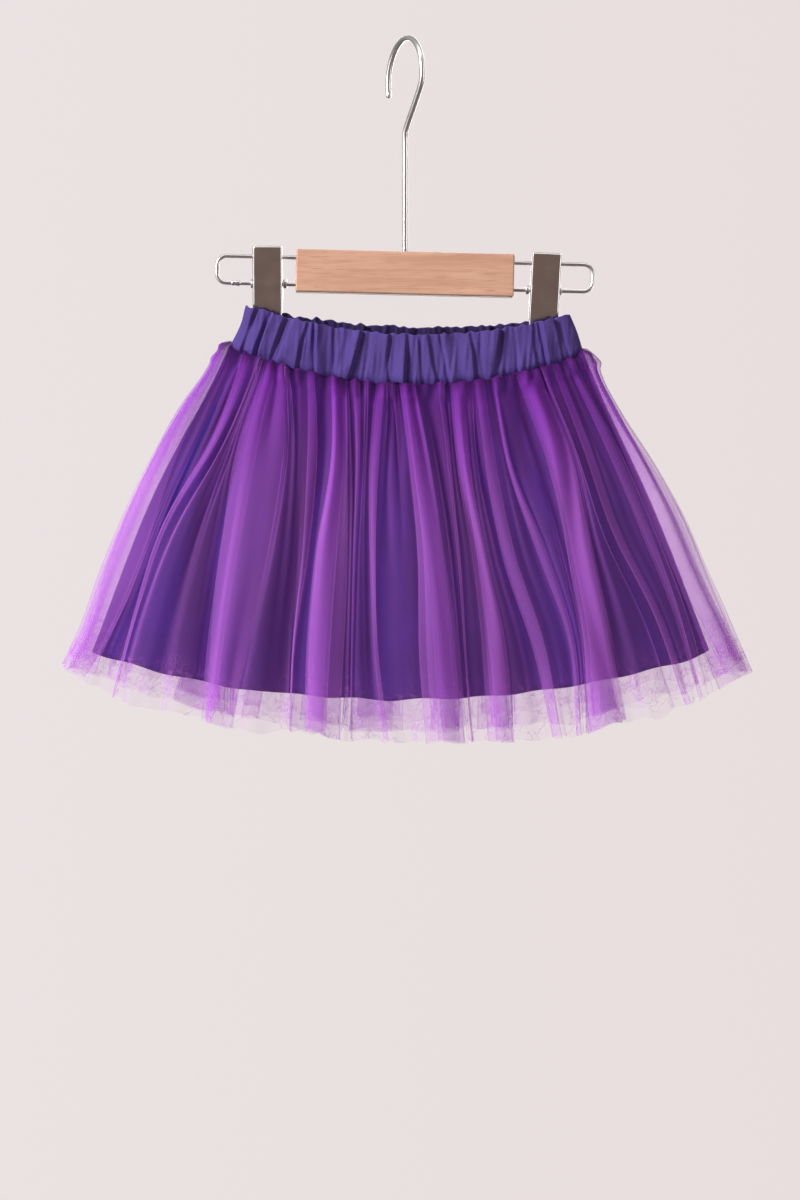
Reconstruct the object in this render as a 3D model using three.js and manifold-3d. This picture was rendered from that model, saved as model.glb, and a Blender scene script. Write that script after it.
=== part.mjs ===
// A child's tulle skirt, hung by its waistband from a clip hanger.
//
// The skirt is an elasticated jersey waistband, an A-line jersey lining and two layers of gathered tulle. Each of them
// is a front and a back panel, sewn at the sides, and each panel is a thin closed wall. The hanger has a wooden bar, a
// wire hook, a wire loop at each end of the bar, and a sprung steel clip on each loop.
//
// Millimetres, +Z up. X runs along the hanger, to the right as seen from the front, and Y runs from front to back. The
// origin is the underside of the hook's crown, where it hangs.

import * as THREE from "three";
import { mergeVertices } from "three/addons/utils/BufferGeometryUtils.js";
import Module from "manifold-3d";

const wasm = await Module();
wasm.setup();

const FRONT = -1;
const BACK = 1;

// Cloth thicknesses, and the gap that sewn pieces keep.
const WAISTBAND_THICK = 2.0;
const LINING_THICK = 1.0;
const TULLE_THICK = 1.0;
const SEAM_GAP = 0.3;

// Heights of the cloth's edges. Each edge is "middle" at the centre line, rises by "rise" at the distance "reach" from
// it, as the given power of the distance, and leans by "lean" from the left side to the right one.
const EDGES = {
  waistTopFront: { middle: -206.5, rise: 17.8, reach: 112.5, power: 2, lean: -3.8 },
  waistTopBack: { middle: -199.5, rise: 10.8, reach: 112.5, power: 2, lean: -3.8 },
  waistSeamFront: { middle: -241.5, rise: 23.8, reach: 123, power: 2, lean: -2.8 },
  waistSeamBack: { middle: -235.0, rise: 17.3, reach: 123, power: 2, lean: -2.8 },
  liningHemFront: { middle: -459.0, rise: 32.0, reach: 214, power: 2.2, lean: 1.0 },
  liningHemBack: { middle: -456.0, rise: 29.0, reach: 214, power: 2.2, lean: 1.0 },
  tulleHemFront: { middle: -488.0, rise: 49.0, reach: 236, power: 2.3, lean: -2.0 },
  tulleHemBack: { middle: -485.0, rise: 46.0, reach: 236, power: 2.3, lean: -2.0 },
};

// Plans of the cloth at several heights, "down" being 0 at a piece's top edge and 1 at its hem. A plan reaches "left"
// and "right" of the centre line, and "front" and "back" of the line y = "centre" that joins the side seams. "square"
// is 1 for an ellipse and less for a plan with fuller corners.
const WAISTBAND_PLAN = [
  { down: 0.0, left: 110.5, right: 114.5, front: 12.5, back: 6.4, centre: -4.5, square: 0.5 },
  { down: 0.35, left: 113.0, right: 118.5, front: 13.5, back: 6.4, centre: -4.5, square: 0.5 },
  { down: 1.0, left: 122.0, right: 124.0, front: 14.5, back: 8.0, centre: -4.5, square: 0.55 },
];
const LINING_PLAN = [
  { down: 0.0, left: 122.0, right: 124.0, front: 14.5, back: 8.0, centre: -4.5, square: 0.55 },
  { down: 0.12, left: 131.0, right: 133.5, front: 17.0, back: 10.0, centre: -4.5, square: 0.6 },
  { down: 0.5, left: 169.0, right: 167.0, front: 27.0, back: 20.0, centre: -4.0, square: 0.75 },
  { down: 1.0, left: 217.0, right: 211.0, front: 40.0, back: 31.0, centre: -3.5, square: 0.85 },
];
const TULLE_PLAN = [
  { down: 0.0, left: 125.4, right: 127.4, front: 18.0, back: 11.8, centre: -4.5, square: 0.55 },
  { down: 0.05, left: 132.0, right: 133.5, front: 21.5, back: 15.5, centre: -4.5, square: 0.6 },
  { down: 0.2, left: 154.0, right: 150.0, front: 28.0, back: 22.0, centre: -4.5, square: 0.65 },
  { down: 0.34, left: 171.0, right: 169.0, front: 32.0, back: 26.0, centre: -4.5, square: 0.7 },
  { down: 0.5, left: 187.0, right: 188.0, front: 37.0, back: 30.0, centre: -4.0, square: 0.75 },
  { down: 0.7, left: 205.0, right: 206.0, front: 44.0, back: 36.0, centre: -4.0, square: 0.8 },
  { down: 0.9, left: 222.0, right: 228.0, front: 51.0, back: 42.0, centre: -3.5, square: 0.85 },
  { down: 1.0, left: 234.0, right: 238.0, front: 54.0, back: 45.0, centre: -3.5, square: 0.85 },
];

// The waistband's gathers, front only: where each ridge starts at the top edge and ends at the seam, in mm from the
// centre line, its half width and how far it stands out.
const WAIST_GATHERS = [
  { top: -104.5, seam: -115.5, half: 5.5, out: 2.2 },
  { top: -97.0, seam: -107.5, half: 3.6, out: 2.0 },
  { top: -91.0, seam: -101.5, half: 3.2, out: 2.0 },
  { top: -84.5, seam: -96.0, half: 3.2, out: 2.0 },
  { top: -77.0, seam: -89.5, half: 3.4, out: 1.8 },
  { top: -69.0, seam: -77.0, half: 9.0, out: 1.2 },
  { top: -61.0, seam: -61.0, half: 4.0, out: 2.2 },
  { top: -51.5, seam: -53.0, half: 4.0, out: 1.4 },
  { top: -44.0, seam: -47.0, half: 3.6, out: 2.0 },
  { top: -31.0, seam: -40.5, half: 4.2, out: 2.0 },
  { top: -22.5, seam: -27.0, half: 5.0, out: 1.3 },
  { top: -12.0, seam: -13.0, half: 5.4, out: 2.2 },
  { top: 0.0, seam: -1.5, half: 4.4, out: 2.0 },
  { top: 7.5, seam: 9.5, half: 3.2, out: 1.4 },
  { top: 15.0, seam: 21.5, half: 4.6, out: 2.0 },
  { top: 26.5, seam: 32.5, half: 5.0, out: 2.0 },
  { top: 43.5, seam: 47.5, half: 6.2, out: 2.0 },
  { top: 54.5, seam: 57.0, half: 5.0, out: 1.3 },
  { top: 65.0, seam: 60.5, half: 6.0, out: 2.0 },
  { top: 77.5, seam: 80.0, half: 5.0, out: 1.6 },
  { top: 87.5, seam: 91.0, half: 4.4, out: 2.0 },
  { top: 95.0, seam: 100.5, half: 3.8, out: 1.8 },
  { top: 102.0, seam: 108.5, half: 4.2, out: 2.0 },
  { top: 109.0, seam: 117.0, half: 4.0, out: 1.6 },
];

// Soft folds of the lining, as shares of the half width at the seam and at the hem, the half width at the hem and how
// far the cloth stands out there, or in where it is negative.
const LINING_FOLDS_FRONT = [
  { top: -0.78, hem: -0.76, half: 42, out: 5 },
  { top: -0.5, hem: -0.42, half: 30, out: -7 },
  { top: -0.32, hem: -0.27, half: 22, out: 4 },
  { top: -0.16, hem: -0.12, half: 20, out: -6 },
  { top: 0.0, hem: 0.06, half: 34, out: 6 },
  { top: 0.36, hem: 0.39, half: 26, out: -13 },
  { top: 0.62, hem: 0.64, half: 34, out: 5 },
  { top: 0.85, hem: 0.84, half: 28, out: -4 },
];
const LINING_FOLDS_BACK = [
  { top: -0.7, hem: -0.66, half: 40, out: -6 },
  { top: -0.4, hem: -0.36, half: 32, out: 5 },
  { top: -0.06, hem: -0.04, half: 34, out: -8 },
  { top: 0.28, hem: 0.27, half: 34, out: 5 },
  { top: 0.6, hem: 0.58, half: 32, out: -6 },
];

// The tulle's folds. "top" and "hem" are shares of the half width, from -1 at the left side seam to 1 at the right one.
// "half" is the half width at the hem, "out" how far the fold stands out there, "curl" how far its sides turn back
// under it, "lean" how far it tips over to the right, and "fades" the share of the length past which it flattens.
const TULLE_FOLDS_FRONT = [
  { top: -0.965, hem: -0.95, half: 10, out: 5, curl: 0.1, lean: 0.0, fades: 1.2 },
  { top: -0.86, hem: -0.82, half: 11, out: 6, curl: 0.14, lean: -0.2, fades: 0.75 },
  { top: -0.7, hem: -0.545, half: 22, out: 17, curl: 0.36, lean: 0.1, fades: 1.2 },
  { top: -0.55, hem: -0.385, half: 10, out: 7, curl: 0.14, lean: 0.2, fades: 0.7 },
  { top: -0.37, hem: -0.24, half: 19, out: 15, curl: 0.38, lean: -0.1, fades: 1.2 },
  { top: -0.2, hem: -0.075, half: 11, out: 9, curl: 0.24, lean: 0.1, fades: 1.2 },
  { top: -0.1, hem: 0.0, half: 6, out: 4, curl: 0.0, lean: 0.0, fades: 0.5 },
  { top: 0.02, hem: 0.11, half: 20, out: 17, curl: 0.38, lean: 0.15, fades: 1.2 },
  { top: 0.15, hem: 0.205, half: 9, out: 6, curl: 0.1, lean: 0.2, fades: 0.75 },
  { top: 0.29, hem: 0.29, half: 14, out: 12, curl: 0.34, lean: 0.1, fades: 1.2 },
  { top: 0.37, hem: 0.375, half: 8, out: 6, curl: 0.2, lean: 0.1, fades: 1.2 },
  { top: 0.45, hem: 0.465, half: 11, out: 7, curl: 0.12, lean: -0.2, fades: 0.9 },
  { top: 0.62, hem: 0.59, half: 20, out: 18, curl: 0.38, lean: 0.1, fades: 1.2 },
  { top: 0.78, hem: 0.74, half: 11, out: 6, curl: 0.1, lean: 0.1, fades: 0.85 },
  { top: 0.88, hem: 0.86, half: 10, out: 6, curl: 0.12, lean: 0.1, fades: 0.85 },
  { top: 0.965, hem: 0.95, half: 10, out: 5, curl: 0.1, lean: 0.0, fades: 1.2 },
];
const BACK_FOLD_COUNT = 15;

const clamp = THREE.MathUtils.clamp;
const lerp = THREE.MathUtils.lerp;
const smooth = (from, to, x) => THREE.MathUtils.smoothstep(x, from, to);

// A steady value from -1 to 1 that differs from row to row, for what the front view doesn't show.
const vary = (row, phase) => Math.sin(row * 2.399 + phase);

// The back's folds follow the front's in size and spacing, large and small by turns.
const TULLE_FOLDS_BACK = Array.from({ length: BACK_FOLD_COUNT }, (_, row) => {
  const place = -0.93 + (1.86 * row) / (BACK_FOLD_COUNT - 1);
  const large = row % 3 === 1;
  return {
    top: clamp(place + 0.02 * vary(row, 0.4), -0.95, 0.95),
    hem: clamp(place + 0.025 * vary(row, 1.9), -0.95, 0.95),
    half: large ? 18 : 9.5,
    out: large ? 14 + vary(row, 0) : 6 + vary(row, 1),
    curl: large ? 0.36 : 0.12,
    lean: 0.15 * vary(row, 2.7),
    fades: large || row % 2 ? 1.2 : 0.8,
  };
});

// One column of a table, read at a height between its rows.
function read(table, column, down) {
  const next = table.findIndex((row) => row.down >= down);
  if (next <= 0) return table[next < 0 ? table.length - 1 : 0][column];
  const [a, b] = [table[next - 1], table[next]];
  return lerp(a[column], b[column], (down - a.down) / (b.down - a.down));
}

// Height of an edge at a distance from the centre line, to the right of it where that is positive.
const edgeHeight = (edge, x) =>
  edge.middle + edge.rise * Math.abs(x / edge.reach) ** edge.power + (edge.lean * x) / edge.reach;

// A point on a plan. The angle is 0 at the left side seam and PI at the right one.
function planPoint(plan, side, angle, down) {
  const share = -Math.cos(angle);
  const reach = lerp(read(plan, "left", down), read(plan, "right", down), (1 + share) / 2);
  const depth = read(plan, side === FRONT ? "front" : "back", down);
  const bow = Math.max(Math.sin(angle), 0) ** read(plan, "square", down);
  return new THREE.Vector2(share * reach, read(plan, "centre", down) + side * depth * bow);
}

// A step of the plan's angle that is small beside any fold.
const ANGLE_STEP = 1e-3;

// The direction along a curve of the angle, and the outward one square to it, both level.
function directions(curve, side, angle) {
  const before = curve(clamp(angle - ANGLE_STEP, 0, Math.PI));
  const after = curve(clamp(angle + ANGLE_STEP, 0, Math.PI));
  const along = after.sub(before);
  const speed = along.length() / (2 * ANGLE_STEP);
  along.normalize();
  const out = new THREE.Vector2(-side * along.y, side * along.x);
  return { along, out, speed };
}

const angleOf = (share) => Math.acos(clamp(-share, -1, 1));

// Keeps folds away from the side seams, where the panels meet.
const awayFromSides = (angle) => smooth(0.03, 0.16, Math.sin(angle));

// A rounded ridge: 1 in the middle and 0 at one half width.
const ridge = (t) => (Math.abs(t) < 1 ? (1 + Math.cos(Math.PI * t)) / 2 : 0);

// The clips' places along the bar, and how far each leans on its wire. They flatten the back of the waistband, down to
// the share "held" of its height.
const CLIPS = [
  { word: "left", x: -95.7, lean: -1.2 },
  { word: "right", x: 98.0, lean: 1.2 },
];
const CLIP_GRIP = { half: 12, ease: 7, held: 0.6 };
const backGathers = WAIST_GATHERS.map((row, i) => ({
  top: -row.top + 1.5 * vary(i, 0.9),
  seam: -row.seam + 2 * vary(i, 2.2),
  half: row.half,
  out: row.out,
}));

function waistbandPoint(side, angle, down) {
  const curve = (a) => planPoint(WAISTBAND_PLAN, side, a, down);
  const point = curve(angle);
  const { out } = directions(curve, side, angle);
  const gathers = side === FRONT ? WAIST_GATHERS : backGathers;
  const rise = gathers.reduce(
    (sum, g) => sum + g.out * ridge((point.x - lerp(g.top, g.seam, down)) / g.half),
    0,
  );
  point.addScaledVector(out, (rise - 0.6) * awayFromSides(angle));
  if (side === FRONT) return point;
  const aside = Math.min(...CLIPS.map((clip) => Math.abs(point.x - clip.x)));
  const flat = (1 - smooth(CLIP_GRIP.half, CLIP_GRIP.half + CLIP_GRIP.ease, aside)) * (1 - smooth(CLIP_GRIP.held, 1, down));
  return point.setY(lerp(point.y, 0, flat));
}

function liningPoint(side, angle, down) {
  const curve = (a) => planPoint(LINING_PLAN, side, a, down);
  const { out, speed } = directions(curve, side, angle);
  const folds = side === FRONT ? LINING_FOLDS_FRONT : LINING_FOLDS_BACK;
  const rise = folds.reduce((sum, f) => {
    const middle = lerp(angleOf(f.top), angleOf(f.hem), down);
    const half = f.half * lerp(0.5, 1, down);
    return sum + f.out * ridge(((angle - middle) * speed) / half);
  }, 0);
  return curve(angle).addScaledVector(out, rise * smooth(0, 0.7, down) * awayFromSides(angle));
}

// The tulle's cloth angle is its place along the hem. Higher up the cloth shifts sideways, to where each fold starts.
function tulleAngle(folds, cloth, down) {
  const marks = [{ top: -1, hem: -1 }, ...folds, { top: 1, hem: 1 }];
  const next = Math.max(1, marks.findIndex((f) => angleOf(f.hem) >= cloth));
  const [a, b] = [marks[next - 1], marks[next]];
  const t = (cloth - angleOf(a.hem)) / (angleOf(b.hem) - angleOf(a.hem));
  const at = (f) => lerp(angleOf(f.top), angleOf(f.hem), down);
  return lerp(at(a), at(b), t);
}

// How much of a fold's depth and curl there is at a height: little at the seam, and none where it has faded.
const depthShare = (fold, down) =>
  lerp(0.08, 1, smooth(-0.02, 0.55, down)) * (1 - smooth(fold.fades - 0.25, fold.fades, down));

const hemSpeed = (side, angle) =>
  directions((a) => planPoint(TULLE_PLAN, side, a, 1), side, angle).speed;

// The folds of each side with their middle and half width as cloth angles.
const foldsOn = (side, rows) =>
  rows.map((row) => {
    const middle = angleOf(row.hem);
    return { ...row, middle, span: row.half / hemSpeed(side, middle) };
  });
const TULLE_FOLDS = {
  [FRONT]: foldsOn(FRONT, TULLE_FOLDS_FRONT),
  [BACK]: foldsOn(BACK, TULLE_FOLDS_BACK),
};

function tullePoint(side, cloth, down) {
  const curve = (a) => planPoint(TULLE_PLAN, side, a, down);
  const folds = TULLE_FOLDS[side];
  const angle = tulleAngle(folds, cloth, down);
  const { along, out, speed } = directions(curve, side, angle);
  const point = curve(angle);
  for (const fold of folds) {
    const t = (cloth - fold.middle) / fold.span;
    if (Math.abs(t) >= 1) continue;
    const share = depthShare(fold, down);
    const curl = fold.curl * smooth(0.12, 0.6, down) * Math.sin(2 * Math.PI * t);
    const lean = fold.lean * ridge(t);
    point.addScaledVector(out, fold.out * share * ridge(t));
    point.addScaledVector(along, fold.span * speed * share * (curl + lean));
  }
  return point;
}

// Where a panel's grid has its columns: at each fold's stations, and evenly between the folds.
function tulleColumns(side) {
  const marks = [];
  for (const fold of TULLE_FOLDS[side]) {
    const steps = fold.curl > 0.2 ? 8 : 4;
    for (let i = 0; i <= steps; i += 1) marks.push(fold.middle + fold.span * ((2 * i) / steps - 1));
  }
  marks.push(...evenly(24));
  return spacedOut(marks, 0.016);
}

const evenly = (count) => Array.from({ length: count + 1 }, (_, i) => (Math.PI * i) / count);

// The marks in order, without those that lie closer than the least step.
function spacedOut(marks, least) {
  const kept = [0];
  for (const mark of marks.filter((m) => m > 0 && m < Math.PI).sort((a, b) => a - b))
    if (mark - kept.at(-1) > least && Math.PI - mark > least) kept.push(mark);
  return [...kept, Math.PI];
}

// Draws the ends of a panel back from the side seam by half the gap.
function seamed(point, side, angle, centre) {
  if (angle > 0 && angle < Math.PI) return point;
  return point.setY(centre + (side * SEAM_GAP) / 2);
}

// A panel's surface, as rows of points from the top edge to the hem, at any distance outside its middle one. "shape"
// gives the level point of the middle surface for a column and a height.
function panel({ side, plan, columns, levels, shape, topEdge, hemEdge, drop }) {
  const place = (angle, down, by) => {
    const point = seamed(shape(side, angle, down), side, angle, read(plan, "centre", down));
    const { out } = directions((a) => shape(side, a, down), side, angle);
    if (angle === 0 || angle === Math.PI) out.set(angle === 0 ? -1 : 1, 0);
    return point.addScaledVector(out, by);
  };
  return (by) => {
    const ends = columns.map((angle) => [
      edgeHeight(topEdge, place(angle, 0, by).x) - drop,
      edgeHeight(hemEdge, place(angle, 1, by).x),
    ]);
    return levels.map((down) =>
      columns.map((angle, i) => [...place(angle, down, by).toArray(), lerp(...ends[i], down)]),
    );
  };
}

// A closed wall between an inner and an outer surface of a panel.
function wall(surface, side, from, to) {
  const [inner, outer] = [surface(from), surface(to)];
  const [high, wide] = [inner.length, inner[0].length];
  const vertices = [...outer.flat(), ...inner.flat()].flat();
  const triangles = [];
  const at = (surface, level, column) => surface * high * wide + level * wide + column;
  const quad = (a, b, c, d) => triangles.push(...(side === FRONT ? [a, b, c, a, c, d] : [a, c, b, a, d, c]));
  for (let i = 0; i < wide - 1; i += 1) {
    for (let l = 0; l < high - 1; l += 1) {
      quad(at(0, l, i), at(0, l + 1, i), at(0, l + 1, i + 1), at(0, l, i + 1));
      quad(at(1, l, i), at(1, l, i + 1), at(1, l + 1, i + 1), at(1, l + 1, i));
    }
    quad(at(1, 0, i), at(0, 0, i), at(0, 0, i + 1), at(1, 0, i + 1));
    quad(at(0, high - 1, i), at(1, high - 1, i), at(1, high - 1, i + 1), at(0, high - 1, i + 1));
  }
  for (let l = 0; l < high - 1; l += 1) {
    quad(at(0, l, 0), at(1, l, 0), at(1, l + 1, 0), at(0, l + 1, 0));
    quad(at(1, l, wide - 1), at(0, l, wide - 1), at(0, l + 1, wide - 1), at(1, l + 1, wide - 1));
  }
  const geometry = new THREE.BufferGeometry();
  geometry.setAttribute("position", new THREE.Float32BufferAttribute(vertices, 3));
  geometry.setIndex(triangles);
  return geometry;
}

function waistband(side) {
  const surface = panel({
    side,
    plan: WAISTBAND_PLAN,
    columns: spacedOut(evenly(92), 0.01),
    levels: [0, 0.35, 0.7, 1],
    shape: waistbandPoint,
    topEdge: side === FRONT ? EDGES.waistTopFront : EDGES.waistTopBack,
    hemEdge: side === FRONT ? EDGES.waistSeamFront : EDGES.waistSeamBack,
    drop: 0,
  });
  return wall(surface, side, -WAISTBAND_THICK / 2, WAISTBAND_THICK / 2);
}

function lining(side) {
  const surface = panel({
    side,
    plan: LINING_PLAN,
    columns: spacedOut(evenly(44), 0.01),
    levels: [0, 0.12, 0.4, 0.7, 1],
    shape: liningPoint,
    topEdge: side === FRONT ? EDGES.waistSeamFront : EDGES.waistSeamBack,
    hemEdge: side === FRONT ? EDGES.liningHemFront : EDGES.liningHemBack,
    drop: SEAM_GAP,
  });
  return wall(surface, side, -LINING_THICK / 2, LINING_THICK / 2);
}

// The tulle's two layers fold as one. The under layer is the top layer's surface, moved in, and is cut shorter.
const UNDER_LENGTH = 0.964;
function tulle(side, isTop) {
  const surface = panel({
    side,
    plan: TULLE_PLAN,
    columns: tulleColumns(side),
    levels: [0, 0.05, 0.2, 0.45, 0.72, UNDER_LENGTH, ...(isTop ? [1] : [])],
    shape: tullePoint,
    topEdge: side === FRONT ? EDGES.waistSeamFront : EDGES.waistSeamBack,
    hemEdge: side === FRONT ? EDGES.tulleHemFront : EDGES.tulleHemBack,
    drop: SEAM_GAP,
  });
  const outer = isTop ? TULLE_THICK / 2 : -TULLE_THICK / 2 - SEAM_GAP;
  return wall(surface, side, outer - TULLE_THICK, outer);
}

// The hanger. Its bar and wires hang a little down to the right.
const HANGER_TILT = THREE.MathUtils.degToRad(-1.4);
const BAR = { length: 152.6, height: 29.8, thick: 12, middle: -162.6, round: 1.2 };
const SOCKET_CLEARANCE = 0.3;

// The hook: a round crown, a slanting run in to the stem, and the stem. It is turned about the stem, with its open side
// to the front. The run in is given by its distance from the stem's line and its height above the neck.
const HOOK = { wire: 4, crownRadius: 28, tipAngle: 196, leaveAngle: -12, neck: -65, socket: 12, sides: 8 };
const HOOK_RUN_IN = [
  { out: 22, above: 26 },
  { out: 13, above: 16 },
  { out: 5.5, above: 8 },
  { out: 1.2, above: 2.5 },
];
const HOOK_TURN = THREE.MathUtils.degToRad(-65);

// The wire loops, one at each end of the bar.
const LOOP = { wire: 2.8, reach: 131.5, apart: 18.8, corner: 6.5, socket: 12, sides: 8 };

// The clips: two pressed plates on the loop's lower wire, with a spring between them.
const CLIP = { width: 21.8, top: 25, backHigher: 3, foot: 36, thick: 1.0, jaw: 1.3, grip: 12.5, flange: 4.5, ear: 6.5, play: 0.6 };

const toManifold = (geometry) => {
  const bare = geometry.clone();
  bare.deleteAttribute("normal");
  bare.deleteAttribute("uv");
  const merged = mergeVertices(bare, 1e-4);
  return new wasm.Manifold(
    new wasm.Mesh({
      numProp: 3,
      vertProperties: merged.attributes.position.array,
      triVerts: new Uint32Array(merged.index.array),
    }),
  );
};

const fromManifold = (solid) => {
  const { numProp, vertProperties, triVerts } = solid.getMesh();
  const points = Array.from({ length: vertProperties.length / numProp }, (_, i) =>
    Array.from(vertProperties.subarray(i * numProp, i * numProp + 3)),
  );
  const geometry = new THREE.BufferGeometry();
  geometry.setAttribute("position", new THREE.Float32BufferAttribute(points.flat(), 3));
  geometry.setIndex(Array.from(triVerts));
  return geometry;
};

const disc = (radius, sides) => {
  const turns = Array.from({ length: sides }, (_, i) => (2 * Math.PI * i) / sides);
  return new THREE.Shape(turns.map((a) => new THREE.Vector2(radius * Math.cos(a), radius * Math.sin(a))));
};

const tube = (path, wire, sides, steps) =>
  new THREE.ExtrudeGeometry(disc(wire / 2, sides), { steps, extrudePath: path });

// A round bar between two points, which also cuts a socket.
const rod = (from, to, diameter, sides) => tube(new THREE.LineCurve3(from, to), diameter, sides, 1);

const v3 = (x, y, z) => new THREE.Vector3(x, y, z);

// A point at the height of the bar's middle, turned with the bar.
const hung = (x, y, z) =>
  v3(x, y, z).applyAxisAngle(v3(0, 1, 0), -HANGER_TILT).add(v3(0, 0, BAR.middle));

function hook() {
  const centre = HOOK.wire / 2 - HOOK.crownRadius;
  const inPlane = (u, z) => v3(u * Math.cos(HOOK_TURN), u * Math.sin(HOOK_TURN), z);
  const crown = [];
  for (let a = HOOK.tipAngle; a >= HOOK.leaveAngle; a -= 13) {
    const turn = THREE.MathUtils.degToRad(a);
    crown.push(inPlane(HOOK.crownRadius * Math.cos(turn), centre + HOOK.crownRadius * Math.sin(turn)));
  }
  const foot = BAR.middle + BAR.height / 2 - HOOK.socket;
  const runIn = HOOK_RUN_IN.map(({ out, above }) => inPlane(out, HOOK.neck + above));
  const stem = [3, 6, 25, 50, 75].map((down) => v3(0, 0, Math.max(HOOK.neck - down, foot)));
  const points = [...crown, ...runIn, ...stem, v3(0, 0, foot)];
  return tube(new THREE.CatmullRomCurve3(points, false, "centripetal"), HOOK.wire, HOOK.sides, 44);
}

function loopPath(side) {
  const [half, corner] = [LOOP.apart / 2, LOOP.corner];
  const inner = BAR.length / 2 - LOOP.socket;
  const path = new THREE.CurvePath();
  const p = (x, z) => hung(side * x, 0, z);
  const straight = LOOP.reach - corner;
  path.add(new THREE.LineCurve3(p(inner, half), p(straight, half)));
  path.add(new THREE.QuadraticBezierCurve3(p(straight, half), p(LOOP.reach, half), p(LOOP.reach, half - corner)));
  path.add(new THREE.LineCurve3(p(LOOP.reach, half - corner), p(LOOP.reach, corner - half)));
  path.add(new THREE.QuadraticBezierCurve3(p(LOOP.reach, corner - half), p(LOOP.reach, -half), p(straight, -half)));
  path.add(new THREE.LineCurve3(p(straight, -half), p(inner, -half)));
  return path;
}

const loop = (side) => tube(loopPath(side), LOOP.wire, LOOP.sides, 30);

function bar() {
  const { length, height, thick, round } = BAR;
  const face = new THREE.Shape([
    new THREE.Vector2(-length / 2 + round, -height / 2 + round),
    new THREE.Vector2(length / 2 - round, -height / 2 + round),
    new THREE.Vector2(length / 2 - round, height / 2 - round),
    new THREE.Vector2(-length / 2 + round, height / 2 - round),
  ]);
  const geometry = new THREE.ExtrudeGeometry(face, {
    depth: thick - 2 * round,
    bevelSize: round,
    bevelThickness: round,
    bevelSegments: 2,
  });
  geometry.translate(0, 0, -(thick - 2 * round) / 2);
  geometry.rotateX(Math.PI / 2);
  geometry.rotateY(-HANGER_TILT);
  geometry.translate(0, 0, BAR.middle);
  let solid = toManifold(geometry);
  const wireHole = LOOP.wire + 2 * SOCKET_CLEARANCE;
  const deep = length / 2 - LOOP.socket - SOCKET_CLEARANCE;
  for (const side of [-1, 1])
    for (const z of [-LOOP.apart / 2, LOOP.apart / 2])
      solid = solid.subtract(toManifold(rod(hung(side * deep, 0, z), hung(side * (length / 2 + 5), 0, z), wireHole, 12)));
  const foot = BAR.middle + height / 2 - HOOK.socket - SOCKET_CLEARANCE;
  const stemHole = rod(v3(0, 0, foot), v3(0, 0, BAR.middle + height), HOOK.wire + 2 * SOCKET_CLEARANCE, 12);
  return fromManifold(solid.subtract(toManifold(stemHole)));
}

// A flat outline in Y and Z, made solid along X from one place to another.
function slab(outline, from, to) {
  const shape = new THREE.Shape(outline.map(([y, z]) => new THREE.Vector2(y, z)));
  const geometry = new THREE.ExtrudeGeometry(shape, { depth: to - from, bevelEnabled: false });
  geometry.applyMatrix4(new THREE.Matrix4().makeBasis(v3(0, 1, 0), v3(0, 0, 1), v3(1, 0, 0)));
  return toManifold(geometry.translate(from, 0, 0));
}

// One plate of a clip, pivoted on the wire at the origin. The front plate's cheeks lie outside the back plate's.
function clipPlate(face) {
  const { width, top, foot, thick, jaw, grip, flange, ear } = CLIP;
  const front = face === FRONT;
  const half = front ? width / 2 : width / 2 - thick - 0.35;
  const rim = front ? top : top + CLIP.backHigher;
  const bend = jaw + 6;
  const y = (depth) => face * depth;
  const skin = [
    [y(grip), rim],
    [y(bend), -3],
    [y(jaw), -foot],
    [y(jaw + thick), -foot],
    [y(bend + thick), -3],
    [y(grip + thick), rim],
  ];
  const cheek = [
    [y(grip + 0.5), rim - 3],
    [y(grip - flange), rim - 6],
    [y(bend - flange), ear],
    [y(-ear / 2), ear / 2],
    [y(-ear / 2), -ear / 2],
    [y(jaw + 1), -ear],
    [y(jaw + 0.5), 6 - foot],
    [y(jaw + 1.5), 4 - foot],
    [y(bend + 0.5), -3],
  ];
  const solid = slab(skin, -half, half)
    .add(slab(cheek, -half, -half + thick))
    .add(slab(cheek, half - thick, half));
  const hole = rod(v3(-width, 0, 0), v3(width, 0, 0), LOOP.wire + 2 * CLIP.play, 12);
  return fromManifold(solid.subtract(toManifold(hole)));
}

// The spring's outer form: a sleeve on the wire, between the back plate's cheeks.
function clipSpring() {
  const half = CLIP.width / 2 - 2 * CLIP.thick - 1;
  const [bore, outer] = [LOOP.wire / 2 + CLIP.play, LOOP.wire / 2 + CLIP.play + 1.7];
  const profile = [
    [bore, -half],
    [outer, -half],
    [outer, half],
    [bore, half],
    [bore, -half],
  ].map(([r, x]) => new THREE.Vector2(r, x));
  const geometry = new THREE.LatheGeometry(profile, 12);
  geometry.rotateZ(Math.PI / 2);
  return fromManifold(toManifold(geometry));
}

const CLOTH = { roughness: 0.85, metalness: 0 };
const MATERIALS = {
  jersey: new THREE.MeshStandardMaterial({ color: "#4d3a86", ...CLOTH }),
  tulle: new THREE.MeshStandardMaterial({ color: "#8f46b8", ...CLOTH, transparent: true, opacity: 0.5 }),
  wood: new THREE.MeshStandardMaterial({ color: "#cf9f84", roughness: 0.55, metalness: 0 }),
  steel: new THREE.MeshStandardMaterial({ color: "#c8c2be", roughness: 0.25, metalness: 1 }),
};

const skirt = new THREE.Group();

function add(name, geometry, material, parent = skirt) {
  const mesh = new THREE.Mesh(geometry, MATERIALS[material]);
  mesh.name = name;
  parent.add(mesh);
}

for (const [side, word] of [[FRONT, "front"], [BACK, "back"]]) {
  add(`waistband_${word}`, waistband(side), "jersey");
  add(`lining_${word}`, lining(side), "jersey");
  add(`tulle_under_${word}`, tulle(side, false), "tulle");
  add(`tulle_top_${word}`, tulle(side, true), "tulle");
}

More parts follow.
